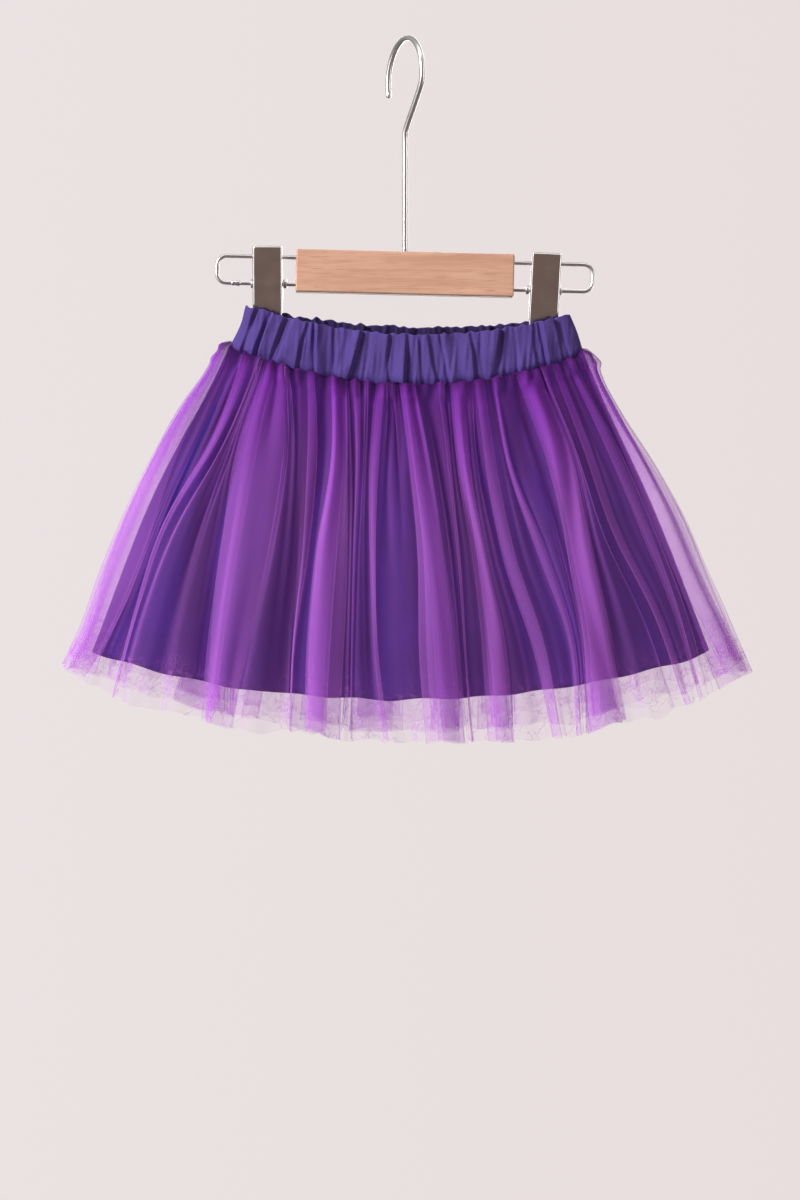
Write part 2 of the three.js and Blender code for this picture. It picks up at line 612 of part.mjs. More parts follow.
add("hanger_hook", hook(), "steel");
add("hanger_bar", bar(), "wood");
add("hanger_loop_left", loop(-1), "steel");
add("hanger_loop_right", loop(1), "steel");
for (const { word, x, lean } of CLIPS) {
  const pivot = -LOOP.apart / 2;
  const clip = new THREE.Group();
  clip.position.copy(hung(x, 0, pivot));
  clip.rotation.y = -HANGER_TILT + THREE.MathUtils.degToRad(lean);
  add(`clip_${word}_front`, clipPlate(FRONT), "steel", clip);
  add(`clip_${word}_back`, clipPlate(BACK), "steel", clip);
  add(`clip_${word}_spring`, clipSpring(), "steel", clip);
  skirt.add(clip);
}

export default skirt;
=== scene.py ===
"""A small tulle skirt, hung by its waistband from a clip hanger.

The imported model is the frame. Each cloth node gets a finer piece here: the jersey waistband with its gathers, the
jersey lining, and two layers of tulle whose folds are bunched where the photograph has them. The hanger's wires, bar
and clips are rebuilt with rounded forms. Lengths in the tables are in millimetres, and pieces are made in metres.
"""

import math

import bpy
import numpy as np
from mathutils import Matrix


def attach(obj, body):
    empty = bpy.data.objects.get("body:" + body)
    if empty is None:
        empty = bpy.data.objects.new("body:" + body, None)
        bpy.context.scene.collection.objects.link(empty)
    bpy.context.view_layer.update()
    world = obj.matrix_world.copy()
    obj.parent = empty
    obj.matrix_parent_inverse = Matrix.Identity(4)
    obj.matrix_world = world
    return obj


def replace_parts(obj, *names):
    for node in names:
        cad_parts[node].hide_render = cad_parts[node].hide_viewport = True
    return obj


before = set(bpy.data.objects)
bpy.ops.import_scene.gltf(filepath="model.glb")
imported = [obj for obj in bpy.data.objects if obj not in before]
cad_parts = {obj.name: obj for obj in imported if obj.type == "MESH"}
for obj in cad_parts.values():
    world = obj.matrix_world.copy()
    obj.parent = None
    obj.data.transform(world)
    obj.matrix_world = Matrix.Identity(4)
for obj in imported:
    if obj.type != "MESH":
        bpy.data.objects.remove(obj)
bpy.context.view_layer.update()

MM = 0.001
FRONT = -1
BACK = 1
SEED = 11

# The camera
CAMERA_DISTANCE = 1983.0
camera = bpy.data.objects.new("camera", bpy.data.cameras.new("camera"))
bpy.context.scene.collection.objects.link(camera)
camera.data.lens = 85
camera.data.sensor_width = 36
camera.location = (-0.0035, -CAMERA_DISTANCE * MM, -0.391)
camera.rotation_euler = (math.pi / 2, 0, 0)
bpy.context.scene.camera = camera


def table(names, *rows):
    return {name: np.array(column, float) for name, column in zip(names.split(), zip(*rows))}


def smooth(low, high, x):
    t = np.clip((np.asarray(x, float) - low) / (high - low), 0, 1)
    return t * t * (3 - 2 * t)


def through(xs, ys, x):
    """A smooth curve through points, by cubic pieces."""
    slopes = np.gradient(ys, xs)
    i = np.clip(np.searchsorted(xs, x) - 1, 0, len(xs) - 2)
    width = xs[i + 1] - xs[i]
    t = np.clip((x - xs[i]) / width, 0, 1)
    a, b = ys[i], ys[i + 1]
    rise = slopes[i] * width * (t**3 - 2 * t**2 + t) + slopes[i + 1] * width * (t**3 - t**2)
    return a * (2 * t**3 - 3 * t**2 + 1) + b * (3 * t**2 - 2 * t**3) + rise


def read(tab, column, down):
    return through(tab["down"], tab[column], down)


# Heights of the cloth's edges: "middle" on the centre line, "rise" more at the distance "reach", "lean" to the right.
EDGES = {
    "waist_top_front": dict(middle=-206.5, rise=17.8, reach=112.5, power=2, lean=-3.8),
    "waist_top_back": dict(middle=-199.5, rise=10.8, reach=112.5, power=2, lean=-3.8),
    "waist_seam_front": dict(middle=-241.5, rise=23.8, reach=123, power=2, lean=-2.8),
    "waist_seam_back": dict(middle=-235.0, rise=17.3, reach=123, power=2, lean=-2.8),
    "lining_hem_front": dict(middle=-459.0, rise=32.0, reach=214, power=2.2, lean=1.0),
    "lining_hem_back": dict(middle=-456.0, rise=29.0, reach=214, power=2.2, lean=1.0),
    "tulle_hem_front": dict(middle=-487.0, rise=48.0, reach=236, power=2.3, lean=-2.0),
    "tulle_hem_back": dict(middle=-485.0, rise=46.0, reach=236, power=2.3, lean=-2.0),
}

# Plans of the cloth: how far it reaches left, right, front and back at shares of its height.
PLAN_COLUMNS = "down left right front back centre square"
WAISTBAND_PLAN = table(
    PLAN_COLUMNS,
    (0.0, 110.5, 114.5, 12.5, 6.4, -4.5, 0.5),
    (0.35, 113.0, 118.5, 13.5, 6.4, -4.5, 0.5),
    (1.0, 122.0, 124.0, 14.5, 8.0, -4.5, 0.55),
)
LINING_PLAN = table(
    PLAN_COLUMNS,
    (0.0, 122.0, 124.0, 14.5, 8.0, -4.5, 0.55),
    (0.12, 134.0, 134.5, 17.0, 10.0, -4.5, 0.6),
    (0.5, 176.0, 171.0, 27.0, 20.0, -4.0, 0.75),
    (1.0, 218.0, 212.0, 40.0, 31.0, -3.5, 0.85),
)
TULLE_PLAN = table(
    PLAN_COLUMNS,
    (0.0, 124.5, 126.5, 16.5, 10.5, -4.5, 0.55),
    (0.05, 133.0, 132.5, 21.5, 15.5, -4.5, 0.6),
    (0.2, 157.0, 150.0, 28.0, 22.0, -4.5, 0.65),
    (0.34, 174.0, 168.5, 32.0, 26.0, -4.5, 0.7),
    (0.5, 191.0, 188.0, 37.0, 30.0, -4.0, 0.75),
    (0.7, 209.0, 207.0, 44.0, 36.0, -4.0, 0.8),
    (0.9, 225.0, 228.0, 50.0, 41.0, -3.5, 0.85),
    (1.0, 236.0, 238.5, 53.0, 44.0, -3.5, 0.85),
)

# The waistband's gathers: place at the top edge and at the seam, half width and how far each stands out.
WAIST_GATHERS = table(
    "top seam half out",
    (-104.5, -115.5, 5.5, 2.2),
    (-97.0, -107.5, 3.6, 2.0),
    (-91.0, -101.5, 3.2, 2.0),
    (-84.5, -96.0, 3.2, 2.0),
    (-77.0, -89.5, 3.4, 1.8),
    (-69.0, -77.0, 9.0, 1.2),
    (-61.0, -61.0, 4.0, 2.2),
    (-51.5, -53.0, 4.0, 1.4),
    (-44.0, -47.0, 3.6, 2.0),
    (-31.0, -40.5, 4.2, 2.0),
    (-22.5, -27.0, 5.0, 1.3),
    (-12.0, -13.0, 5.4, 2.2),
    (0.0, -1.5, 4.4, 2.0),
    (7.5, 9.5, 3.2, 1.4),
    (15.0, 21.5, 4.6, 2.0),
    (26.5, 32.5, 5.0, 2.0),
    (43.5, 47.5, 6.2, 2.0),
    (54.5, 57.0, 5.0, 1.3),
    (65.0, 60.5, 6.0, 2.0),
    (77.5, 80.0, 5.0, 1.6),
    (87.5, 91.0, 4.4, 2.0),
    (95.0, 100.5, 3.8, 1.8),
    (102.0, 108.5, 4.2, 2.0),
    (109.0, 117.0, 4.0, 1.6),
)

# The lining's soft folds, as shares of the half width, with their half width and depth at the hem.
LINING_FOLDS = {
    FRONT: table(
        "top hem half out",
        (-0.92, -0.8, 38, 6),
        (-0.83, -0.64, 22, -10),
        (-0.58, -0.52, 20, 5),
        (-0.45, -0.36, 26, -16),
        (-0.25, -0.17, 20, -12),
        (-0.06, 0.01, 28, 7),
        (0.13, 0.16, 16, 5),
        (0.22, 0.42, 34, -20),
        (0.6, 0.61, 26, 6),
        (0.79, 0.69, 20, -10),
        (0.92, 0.86, 28, 4),
    ),
    BACK: table(
        "top hem half out",
        (-0.85, -0.74, 32, 5),
        (-0.68, -0.61, 24, -12),
        (-0.42, -0.36, 24, 6),
        (-0.24, -0.2, 20, -10),
        (-0.04, -0.03, 30, 6),
        (0.16, 0.21, 28, -15),
        (0.4, 0.38, 24, 6),
        (0.58, 0.56, 22, -11),
        (0.82, 0.77, 32, 5),
    ),
}

# The tulle's bunched bands, left to right as seen from the front: the left and right edge of each at five heights from
# the seam to the hem, how often the cloth passes over the band's width, and how far the band stands out.
BAND_DOWN = np.array([0, 0.25, 0.5, 0.75, 1])
BANDS = table(
    "l0 l1 l2 l3 l4 r0 r1 r2 r3 r4 passes out lean",
    (-126, -166, -193, -216, -239, -119, -147, -171, -194, -224, 3, 1, 0.0),
    (-112, -136, -169, -189, -205, -100, -126, -160, -184, -201, 3, 3, -0.6),
    (-97, -119, -129, -137, -142, -82, -83, -92, -106, -119, 5, 4, -0.45),
    (-74, -75, -76, -80, -82, -62, -62, -66, -76, -79, 3, 2, 0.5),
    (-52, -53, -63, -69, -70, -40, -40, -40, -42, -44, 7, 4, -0.3),
    (-37, -36, -37, -38, -38, -27, -30, -33, -35, -36, 3, 2, -0.3),
    (-20, -26, -26, -23, -16, -11, -16, -18, -17, -9, 3, 3, -0.3),
    (-5, 2, 8, 9, 13, 7, 19, 29, 37, 43, 7, 5, 0.3),
    (18, 26, 34, 39, 44, 26, 32, 39, 43, 48, 3, 3, 0.5),
    (30, 35, 46, 53, 57, 44, 46, 57, 71, 77, 5, 3, 0.3),
    (47, 53, 67, 88, 102, 58, 68, 82, 102, 114, 3, 3, -0.2),
    (60, 70, 91, 113, 119, 64, 74, 100, 119, 124, 3, 3, 0.0),
    (76, 97, 111, 122, 126, 92, 116, 129, 142, 155, 7, 5, 0.0),
    (94, 118, 139, 169, 191, 107, 130, 152, 182, 203, 3, 3, 0.3),
    (109, 134, 160, 186, 205, 115, 146, 172, 194, 211, 3, 2, 0.2),
    (119, 148, 174, 198, 215, 127, 158, 189, 213, 241, 3, 1, 0.0),
)
PLAIN_FULLNESS = {FRONT: 1.16, BACK: 1.4}
UNDER_LENGTH = 0.964
# The cut's width beside the widths of all passes at the hem, since the folds there aren't quite flat.
TAKEN_UP = {FRONT: 0.9, BACK: 0.84}

# How far the hem hangs above or below its even line, at places across the front.
HEM_OFFSETS = table(
    "x up",
    (-238, 3),
    (-209, -5),
    (-177, -5),
    (-145, 1),
    (-122, -3),
    (-106, -2),
    (-78, 3),
    (-65, 8),
    (-52, 0),
    (-13, 0),
    (23, 0),
    (59, -2),
    (92, -4),
    (118, -6),
    (140, -1),
    (169, -6),
    (203, -5),
    (240, 0),
)


def edge_height(name, x):
    e = EDGES[name]
    return e["middle"] + e["rise"] * np.abs(x / e["reach"]) ** e["power"] + e["lean"] * x / e["reach"]


def plan_point(plan, side, angle, down):
    """A point on a plan, 0 being the angle of the left side seam and pi that of the right one."""
    share = -np.cos(angle)
    left, right = read(plan, "left", down), read(plan, "right", down)
    reach = left + (right - left) * (1 + share) / 2
    bow = np.maximum(np.sin(angle), 0) ** read(plan, "square", down)
    depth = read(plan, "front" if side == FRONT else "back", down)
    return share * reach, read(plan, "centre", down) + side * depth * bow


def outward(plan, side, angle, down):
    """The level direction out of a plan, and the plan's length for each unit of angle."""
    step = 1e-3
    low, high = np.clip(angle - step, 0, math.pi), np.clip(angle + step, 0, math.pi)
    (x0, y0), (x1, y1) = plan_point(plan, side, low, down), plan_point(plan, side, high, down)
    dx, dy = x1 - x0, y1 - y0
    size = np.hypot(dx, dy)
    return -side * dy / size, side * dx / size, size / (high - low)


def ridge(t):
    return np.where(np.abs(t) < 1, (1 + np.cos(math.pi * np.clip(t, -1, 1))) / 2, 0)


def wander(x, seed, scale, waves=5):
    """A smooth uneven curve of x, about -1 to 1, whose waves are about scale long."""
    rng = np.random.default_rng(seed)
    total = 0
    for _ in range(waves):
        total = total + np.sin(x / scale * 2 * math.pi * rng.uniform(0.5, 1.6) + rng.uniform(0, 2 * math.pi))
    return total / waves**0.5 / 1.2


def new_piece(name, vertices, faces, uv=None, material=None, shade=True):
    mesh = bpy.data.meshes.new(name)
    mesh.from_pydata(vertices, [], faces)
    if uv is not None:
        layer = mesh.uv_layers.new(name="cloth")
        corners = np.empty(len(mesh.loops), int)
        mesh.loops.foreach_get("vertex_index", corners)
        layer.data.foreach_set("uv", uv[corners].astype(np.float32).ravel())
    if shade:
        mesh.shade_smooth()
    piece = bpy.data.objects.new(name, mesh)
    bpy.context.scene.collection.objects.link(piece)
    if material:
        mesh.materials.append(material)
    return piece


def grid_faces(high, wide, flip=False):
    row, column = np.meshgrid(np.arange(high - 1), np.arange(wide - 1), indexing="ij")
    a = (row * wide + column).ravel()
    quads = np.stack([a, a + wide, a + wide + 1, a + 1], axis=1)
    return (quads[:, ::-1] if flip else quads).tolist()


def cloth_piece(name, points, uv, side, material):
    """A piece from rows of points, with its cloth's own coordinates in metres."""
    high, wide = points.shape[:2]
    vertices = points.reshape(-1, 3) * MM
    return new_piece(
        name, vertices.tolist(), grid_faces(high, wide, side == BACK), uv.reshape(-1, 2) * MM, material
    )


# Bessel's J0 gives how much a wave of cloth shortens for the largest angle it turns through.
TURNS = np.linspace(0, 2.2, 400)
CIRCLE = np.linspace(0, 2 * math.pi, 400, endpoint=False)
SHORTENING = np.cos(TURNS[:, None] * np.sin(CIRCLE)).mean(axis=1)


def turn_for(shortening):
    return np.interp(-np.clip(shortening, SHORTENING[-1], 1), -SHORTENING, TURNS)


def lining_point(side, angle, down):
    folds = LINING_FOLDS[side]
    x, y = plan_point(LINING_PLAN, side, angle, down)
    nx, ny, speed = outward(LINING_PLAN, side, angle, down)
    rise = 0
    for top, hem, half, out in zip(*folds.values()):
        a, b = math.acos(-top), math.acos(-hem)
        middle = a + (b - a) * down
        rise = rise + out * ridge((angle - middle) * speed / (half * (0.45 + 0.55 * down)))
    rise = rise * smooth(0, 0.35, down) * smooth(0.03, 0.16, np.sin(angle))
    # Small gathers at the seam, under which the lining is tucked in.
    gather = wander(-np.cos(angle), SEED + side, 0.1) * ridge(down / 0.7)
    rise = rise + (1.6 * gather - 3.2 * (1 - smooth(0, 0.07, down))) * smooth(0.03, 0.3, np.sin(angle))
    return x + rise * nx, y + rise * ny


def lining_depth(side, x, z):
    """How far from the side seams' line the lining lies at places that it covers, and less than nothing elsewhere."""
    word = "front" if side == FRONT else "back"
    top = edge_height(f"waist_seam_{word}", np.clip(x, -124, 124))
    hem = edge_height(f"lining_hem_{word}", x)
    down = (top - z) / (top - hem)
    reach = np.where(x < 0, read(LINING_PLAN, "left", down), read(LINING_PLAN, "right", down))
    angle = np.arccos(np.clip(-x / reach, -1, 1))
    _, y = lining_point(side, angle, np.clip(down, 0, 1))
    inside = (down < 1.02) & (np.abs(x) < reach)
    return np.where(inside, side * y, -100)


def lining(side, material):
    word = "front" if side == FRONT else "back"
    columns = np.linspace(0, math.pi, 241)
    levels = np.linspace(0, 1, 61)
    angle, down = np.meshgrid(columns, levels)
    x, y = lining_point(side, angle, down)
    top = edge_height(f"waist_seam_{word}", x[0]) + 1.5
    hem = edge_height(f"lining_hem_{word}", x[-1]) + 0.8 * wander(x[-1], SEED + 3 + side, 60)
    z = top + (hem - top) * down
    across = np.concatenate([[0], np.cumsum(np.hypot(np.diff(x[-1]), np.diff(y[-1])))])
    uv = np.stack([np.broadcast_to(across, x.shape), -down * 222], axis=-1)
    piece = cloth_piece(f"jersey_lining_{word}", np.stack([x, y, z], axis=-1), uv, side, material)
    thick = piece.modifiers.new("thickness", "SOLIDIFY")
    thick.thickness = 0.0009
    thick.offset = 0
    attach(piece, "root")
    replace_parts(piece, f"lining_{word}")
    return piece


def bands_of(side):
    """Edges of each band across a panel, as x at BAND_DOWN, with its passes and stand-out."""
    lefts = np.stack([BANDS[f"l{i}"] for i in range(5)], axis=1)
    rights = np.stack([BANDS[f"r{i}"] for i in range(5)], axis=1)
    passes, out, lean = BANDS["passes"].astype(int), BANDS["out"], BANDS["lean"]
    if side == BACK:
        shift = lambda x: -x + 6 * np.sin(x / 42 + 1.3) * np.cos(x / 155)
        lefts, rights = shift(rights)[::-1], shift(lefts)[::-1]
        passes, out, lean = np.where(out > 4, 5, 3)[::-1], out[::-1], -lean[::-1]
        # The back's bands fan out more toward the hem.
        fan = (rights - lefts) * np.array([0, 0.05, 0.1, 0.16, 0.24])
        lefts, rights = lefts - fan, rights + fan
        middle = (rights[:-1] + lefts[1:]) / 2
        rights[:-1], lefts[1:] = np.minimum(rights[:-1], middle - 1), np.maximum(lefts[1:], middle + 1)
    # What is seen at the front lies nearer the camera than the side seams do, and looks larger.
    front = read(TULLE_PLAN, "front", BAND_DOWN)
    nearer = 1 - front / CAMERA_DISTANCE * (side == FRONT)
    return lefts * nearer, rights * nearer, passes, out, lean


def running(values, t):
    """The running total of rows of values over t, from 0."""
    steps = (values[:, 1:] + values[:, :-1]) / 2 * np.diff(t)
    return np.concatenate([np.zeros((len(values), 1)), np.cumsum(steps, axis=1)], axis=1)


def band(t, wide, cloth, passes, lean, down, rng):
    """Cloth laid to and fro over a band: the share of the band's width at each place, and how far it stands out."""
    turn = np.arange(passes + 1)
    # The inner turns stop short of the band's edges, each by its own amount, which wanders down the cloth. Those that
    # the band leans away from stop shortest.
    short = [np.zeros_like(down[:, 0])]
    for i in turn[1:-1]:
        amount = 0.06 + 0.06 * wander(down[:, 0] + 0.3, rng.integers(1e6), 1.1)
        amount = amount * (0.35 if i in (1, passes - 1) and passes > 3 else 1.3)
        away = -lean if i % 2 else lean
        if away > 0 and (passes == 3 or i not in (1, passes - 1)):
            amount = amount + away * rng.choice([0.75, 1.3])
        short.append(np.clip(amount, 0, 0.75))
    short.append(np.zeros_like(down[:, 0]))
    short = np.stack(short, axis=1)
    corner = np.where(turn % 2 == 1, 1 - short, short)
    which = np.minimum((t * passes).astype(int), passes - 1)
    within = t * passes - which
    eased = 0.85 * within + 0.15 * within**2 * (3 - 2 * within)
    across = corner[:, which] + (corner[:, which + 1] - corner[:, which]) * eased
    stairs = sum(smooth(-0.16, 0.16, t * passes - i) for i in turn[1:-1]) if passes > 1 else 0 * t
    gap = 0.3 + 1.1 * smooth(0.05, 0.7, down)
    # Where the band is narrower than its cloth, the whole stack ripples.
    theta = np.minimum(turn_for(wide * passes / cloth), 1.1)
    count = max(1.0, cloth / passes / 23)
    wave = theta * (cloth / passes) / (2 * math.pi * count)
    ripple = wave * np.sin(2 * math.pi * count * across + rng.uniform(0, 6.3) + 1.3 * wander(down, rng.integers(1e6), 1.2))
    return across, stairs * gap + ripple * 0.6


def plain(t, wide, cloth, gathers, waves, held, down, rng):
    """Cloth between bands: soft waves, and small gathers that start at the seam and fade below it."""
    fade = 1 - smooth(0.02, 0.11 + 0.05 * rng.uniform(-1, 1), down)
    small = 0.4 * fade
    large = turn_for(np.clip(wide / cloth, 0, 1) / np.interp(small, TURNS, SHORTENING))
    most = 1.85 - 0.8 * smooth(0.02, 0.3 + 0.15 * rng.uniform(), down) - 0.35 * smooth(0.35, 0.8, down)
    large = np.clip(large, 0.25 + 0.3 * rng.uniform(), most + (1.8 - most) * held)
    drift = 0.12 / waves * wander(t * waves + 0.6 * down, rng.integers(1e6), 2.3) * np.sin(math.pi * t)
    uneven = np.clip(0.95 + 0.2 * wander(t * waves + 0.4 * down, rng.integers(1e6), 1.7), 0.7, 1.08)
    theta = large * uneven * np.sin(2 * math.pi * waves * (t + drift) + rng.uniform(0, 6.3))
    theta = theta + small * np.sin(2 * math.pi * gathers * (t + 0.5 * drift) + rng.uniform(0, 6.3))
    theta = np.clip(theta, -2.05, 2.05)
    advance = running(np.cos(theta), t)
    # Where the waves fold right over, the way across is kept from running out.
    lack = np.maximum(0.2 - advance[:, -1:], 0)
    advance = advance + lack * t
    swing = running(np.sin(theta), t) * cloth
    swing = swing - swing[:, -1:] * t
    return advance / advance[:, -1:], swing


def tulle_sheet(side, layer, step):
    """Rows of points of a tulle panel, with its cloth coordinates."""
    word = "front" if side == FRONT else "back"
    # Both layers are gathered together, so their folds nest.
    rng = np.random.default_rng(SEED + 5 * side)
    # The rows lie closer at the seam and at the hem, where the cloth turns most.
    levels = np.linspace(0, 1, 81)
    levels = (levels - 0.085 * np.sin(2 * math.pi * levels)) * (1 if layer == 0 else UNDER_LENGTH)
    lefts, rights, passes, outs, leans = bands_of(side)
    reach_left, reach_right = read(TULLE_PLAN, "left", levels), read(TULLE_PLAN, "right", levels)

    if layer:
        # The under layer's bands are a little narrower, so that both layers' edges show.
        shares = np.random.default_rng(SEED + 17).uniform(0.04, 0.2, (len(passes), 1))
        inset = (rights - lefts) * shares
        lefts, rights = lefts + inset, rights - 0.6 * inset

    def angle_at(xs):
        x = through(BAND_DOWN, xs, levels)
        reach = np.where(x < 0, reach_left, reach_right)
        return np.arccos(np.clip(-x / reach, -1, 1))

    edges_left = [angle_at(xs) for xs in lefts]
    edges_right = [angle_at(xs) for xs in rights]
    edges_left[0] = np.zeros_like(levels)
    edges_right[-1] = np.full_like(levels, math.pi)
    down = levels[:, None]

    def width_of(left, right):
        _, _, speed = outward(TULLE_PLAN, side, (left + right) / 2, levels)
        return np.maximum((right - left) * speed, 0.5)[:, None]

    angles, rises, places = [], [], []
    place = 0.0
    height = np.zeros_like(down)
    for i, (left, right) in enumerate(zip(edges_left, edges_right)):
        wide = width_of(left, right)
        cloth = wide.max() * passes[i] * 1.02
        t = np.linspace(0, 1, max(8, int(cloth / step)) + 1)
        across, rise = band(t, wide, cloth, passes[i], leans[i], down, rng)
        bow = np.sin(math.pi * np.clip(across, 0, 1)) ** 0.7
        rise = rise + outs[i] * bow * (0.5 + 0.5 * smooth(0.02, 0.4, down))
        angles.append(left[:, None] + (right - left)[:, None] * across)
        rises.append(rise)
        places.append(place + cloth * t)
        place += cloth
        height = rise[:, -1:]
        if i + 1 == len(passes):
            break
        left, right = right, edges_left[i + 1]
        wide = width_of(left, right)
        # More cloth is bunched up toward the sides.
        aside = float(smooth(0.5, 0.85, abs(math.cos((left[-1] + right[-1]) / 2))))
        cloth = max(wide.max() * 1.04, wide[-1, 0] * (PLAIN_FULLNESS[side] + 0.5 * aside))
        t = np.linspace(0, 1, max(6, int(cloth / step)) + 1)
        gathers = max(1, round(wide[0, 0] / 4.5))
        waves = max(1, round(wide[0, 0] / 14), round(wide[len(wide) // 2, 0] / 19))
        advance, swing = plain(t, wide, cloth, gathers, waves, 0.45 * aside, down, rng)
        angles.append(left[:, None] + (right - left)[:, None] * advance)
        # Between the bands the cloth falls back near the seam.
        back = 4 * np.sin(math.pi * t) * (1 - smooth(0.1, 0.4, down))
        rises.append(7 * np.tanh(swing / 7) + height * (1 - smooth(0, 1, t)) - back)
        places.append(place + cloth * t)
        place += cloth
    keep = [slice(0, -1)] * (len(angles) - 1) + [slice(None)]
    join = lambda parts: np.concatenate([p[..., k] for p, k in zip(parts, keep)], axis=-1)
    angle, rise, cloth_x = join(angles), join(rises), join(places) * TAKEN_UP[side]
    place *= TAKEN_UP[side]

    inside = np.clip(angle, 0, math.pi)
    x, y = plan_point(TULLE_PLAN, side, inside, down)
    nx, ny, _ = outward(TULLE_PLAN, side, np.clip(angle, 1e-3, math.pi - 1e-3), down)
    rise = rise * (0.6 + 0.4 * smooth(0, 0.2, down))
    rise = rise + 2.5 * wander(cloth_x[None, :] + 18 * down, SEED + side + 31, 190) * smooth(0.1, 0.6, down)
    # The cloth comes out from under the waistband, and puffs up just below it, most of all at the sides.
    puff = np.clip(0.6 + 0.6 * wander(x, SEED + side + 37, 13), 0, 1.5)
    rise = rise + 3.7 * puff * ridge((down - 0.03) / 0.034) - 4.6 * (1 - smooth(0, 0.018, down))
    rise = np.where(rise < 0, 7 * np.tanh(rise / 7), rise)
    at_side = 1 - smooth(0.1, 0.42, np.sin(inside))
    rise = rise * (0.35 + 0.65 * smooth(0.0, 0.05, np.sin(inside))) - 1.6 * layer
    rise = rise + 2.0 * at_side * (1 - smooth(0.02, 0.12, down))
    base_x = x
    x, y = x + rise * nx, y + rise * ny

    # Heights: each column of the cloth runs from its place at the seam to its place at the hem.
    top = edge_height(f"waist_seam_{word}", np.clip(base_x[0], -126, 126)) + 1.5
    hem = edge_height(f"tulle_hem_{word}", base_x[-1] / (1 if layer == 0 else 0.985))
    ends = np.interp(base_x[-1], HEM_OFFSETS["x"], HEM_OFFSETS["up"]) * (0.8 if side == FRONT else -0.6)
    ends = ends + 1.3 * wander(cloth_x, SEED + 41 + layer + side, 40) + 1.8 * layer * wander(cloth_x, 77 + side, 70)
    z = top + (hem + ends - top) * down
    z = z + 2.4 * puff * ridge((down - 0.016) / 0.017) + 2.4 * at_side * (1 - smooth(0, 0.1, down))
    # The raw hem turns a little in and out.
    flip = 2.6 * wander(cloth_x, SEED + 53 + layer + 2 * side, 26) * smooth(0.93, 1, down / levels[-1])
    y = y + side * flip * smooth(0, 0.1, np.sin(inside))
    y = side * np.maximum(side * y, lining_depth(side, x, z) + 2 - 0.8 * layer)
    uv = np.stack([np.broadcast_to(cloth_x, x.shape), -down * 252 + 0 * x], axis=-1)
    return np.stack([x, y, z], axis=-1), uv, place


def tulle(side, layer, material):
    word = "front" if side == FRONT else "back"
    name = "top" if layer == 0 else "under"
    points, uv, cloth = tulle_sheet(side, layer, 1.7)
    piece = cloth_piece(f"tulle_net_{name}_{word}", points, uv, side, material)
    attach(piece, "root")
    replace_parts(piece, f"tulle_{name}_{word}")
    return piece


CLIPS = {"left": dict(x=-95.7, lean=-1.2), "right": dict(x=98.0, lean=1.2)}


def waistband(side, material):
    """A strip turned over at its top edge: up the outside, over, and down the inside."""
    word = "front" if side == FRONT else "back"
    columns = np.linspace(0, math.pi, 701)
    round_over = np.linspace(0, math.pi, 9)
    outer = np.linspace(1, 0, 17)
    down = np.concatenate([outer, np.zeros(7), outer[::-1]])
    half = 1.0
    across = np.concatenate([np.full(17, half), half * np.cos(round_over[1:-1]), np.full(17, -half)])
    above = np.concatenate([np.zeros(17), half * np.sin(round_over[1:-1]), np.zeros(17)])
    angle, down = np.meshgrid(columns, down)
    x, y = plan_point(WAISTBAND_PLAN, side, angle, down)
    nx, ny, _ = outward(WAISTBAND_PLAN, side, angle, down)
    sign = 1 if side == FRONT else -1
    rise = -0.6
    for i, (top, seam, width, out) in enumerate(zip(*WAIST_GATHERS.values())):
        bend = 0.9 * math.sin(i * 2.1) * np.sin(math.pi * down)
        # Each gather swells slowly up to its crest, and drops steeply into a crease beside it.
        way = -1 if math.sin(i * 2.9) < -0.35 else 1
        off = way * (x - sign * (top + (seam - top) * down) - bend)
        swell = smooth(-1.9 * width, 0, off) * (1 - smooth(0, 1.9, off))
        crease = ridge((off - 2.3) / 1.9)
        fading = np.clip(np.sin(i * 1.7 + 2.6 * down), 0, 1) ** 2
        strength = out * (0.8 + 0.4 * math.sin(i * 4.3)) * (1 - 0.75 * fading)
        rise = rise + strength * (1.7 * swell - 0.55 * crease)
    rise = rise + 0.45 * wander(x + 3 * down, SEED + 61 + side, 5) * (0.6 + 0.4 * np.sin(7 * down + x / 9))
    rise = rise * smooth(0.03, 0.16, np.sin(angle))
    # The lower edge is rounded in to its seam.
    rise = rise - 2.4 * smooth(0.9, 1, down) * smooth(0.03, 0.16, np.sin(angle))
    x, y = x + (rise + across[:, None]) * nx, y + (rise + across[:, None]) * ny
    if side == BACK:
        aside = np.min([np.abs(x - clip["x"]) for clip in CLIPS.values()], axis=0)
        flat = (1 - smooth(12, 19, aside)) * (1 - smooth(0.6, 1, down))
        y = y + (across[:, None] - y) * flat
    base_x, _ = plan_point(WAISTBAND_PLAN, side, columns, np.zeros_like(columns))
    seam_x, _ = plan_point(WAISTBAND_PLAN, side, columns, np.ones_like(columns))
    ripple = 0.7 * wander(base_x, SEED + 71 + side, 9) + 0.5 * wander(base_x, SEED + 73 + side, 28)
    top = edge_height(f"waist_top_{word}", base_x) + ripple - half
    seam = edge_height(f"waist_seam_{word}", seam_x) + 0.8 * wander(seam_x, SEED + 75 + side, 14)
    z = top + (seam - top) * down + above[:, None]
    length = np.concatenate([[0], np.cumsum(np.hypot(np.diff(x[8]), np.diff(y[8])))])
    strip = np.concatenate([outer * 36, -np.linspace(0.2, 2.4, 7), -3 - outer[::-1] * 36])
    uv = np.stack([np.broadcast_to(length, x.shape), np.broadcast_to(strip[:, None], x.shape)], axis=-1)
    points = np.stack([x, y, z], axis=-1)
    piece = cloth_piece(f"jersey_waistband_{word}", points, uv, -side, material)
    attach(piece, "root")
    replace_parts(piece, f"waistband_{word}")
    return piece


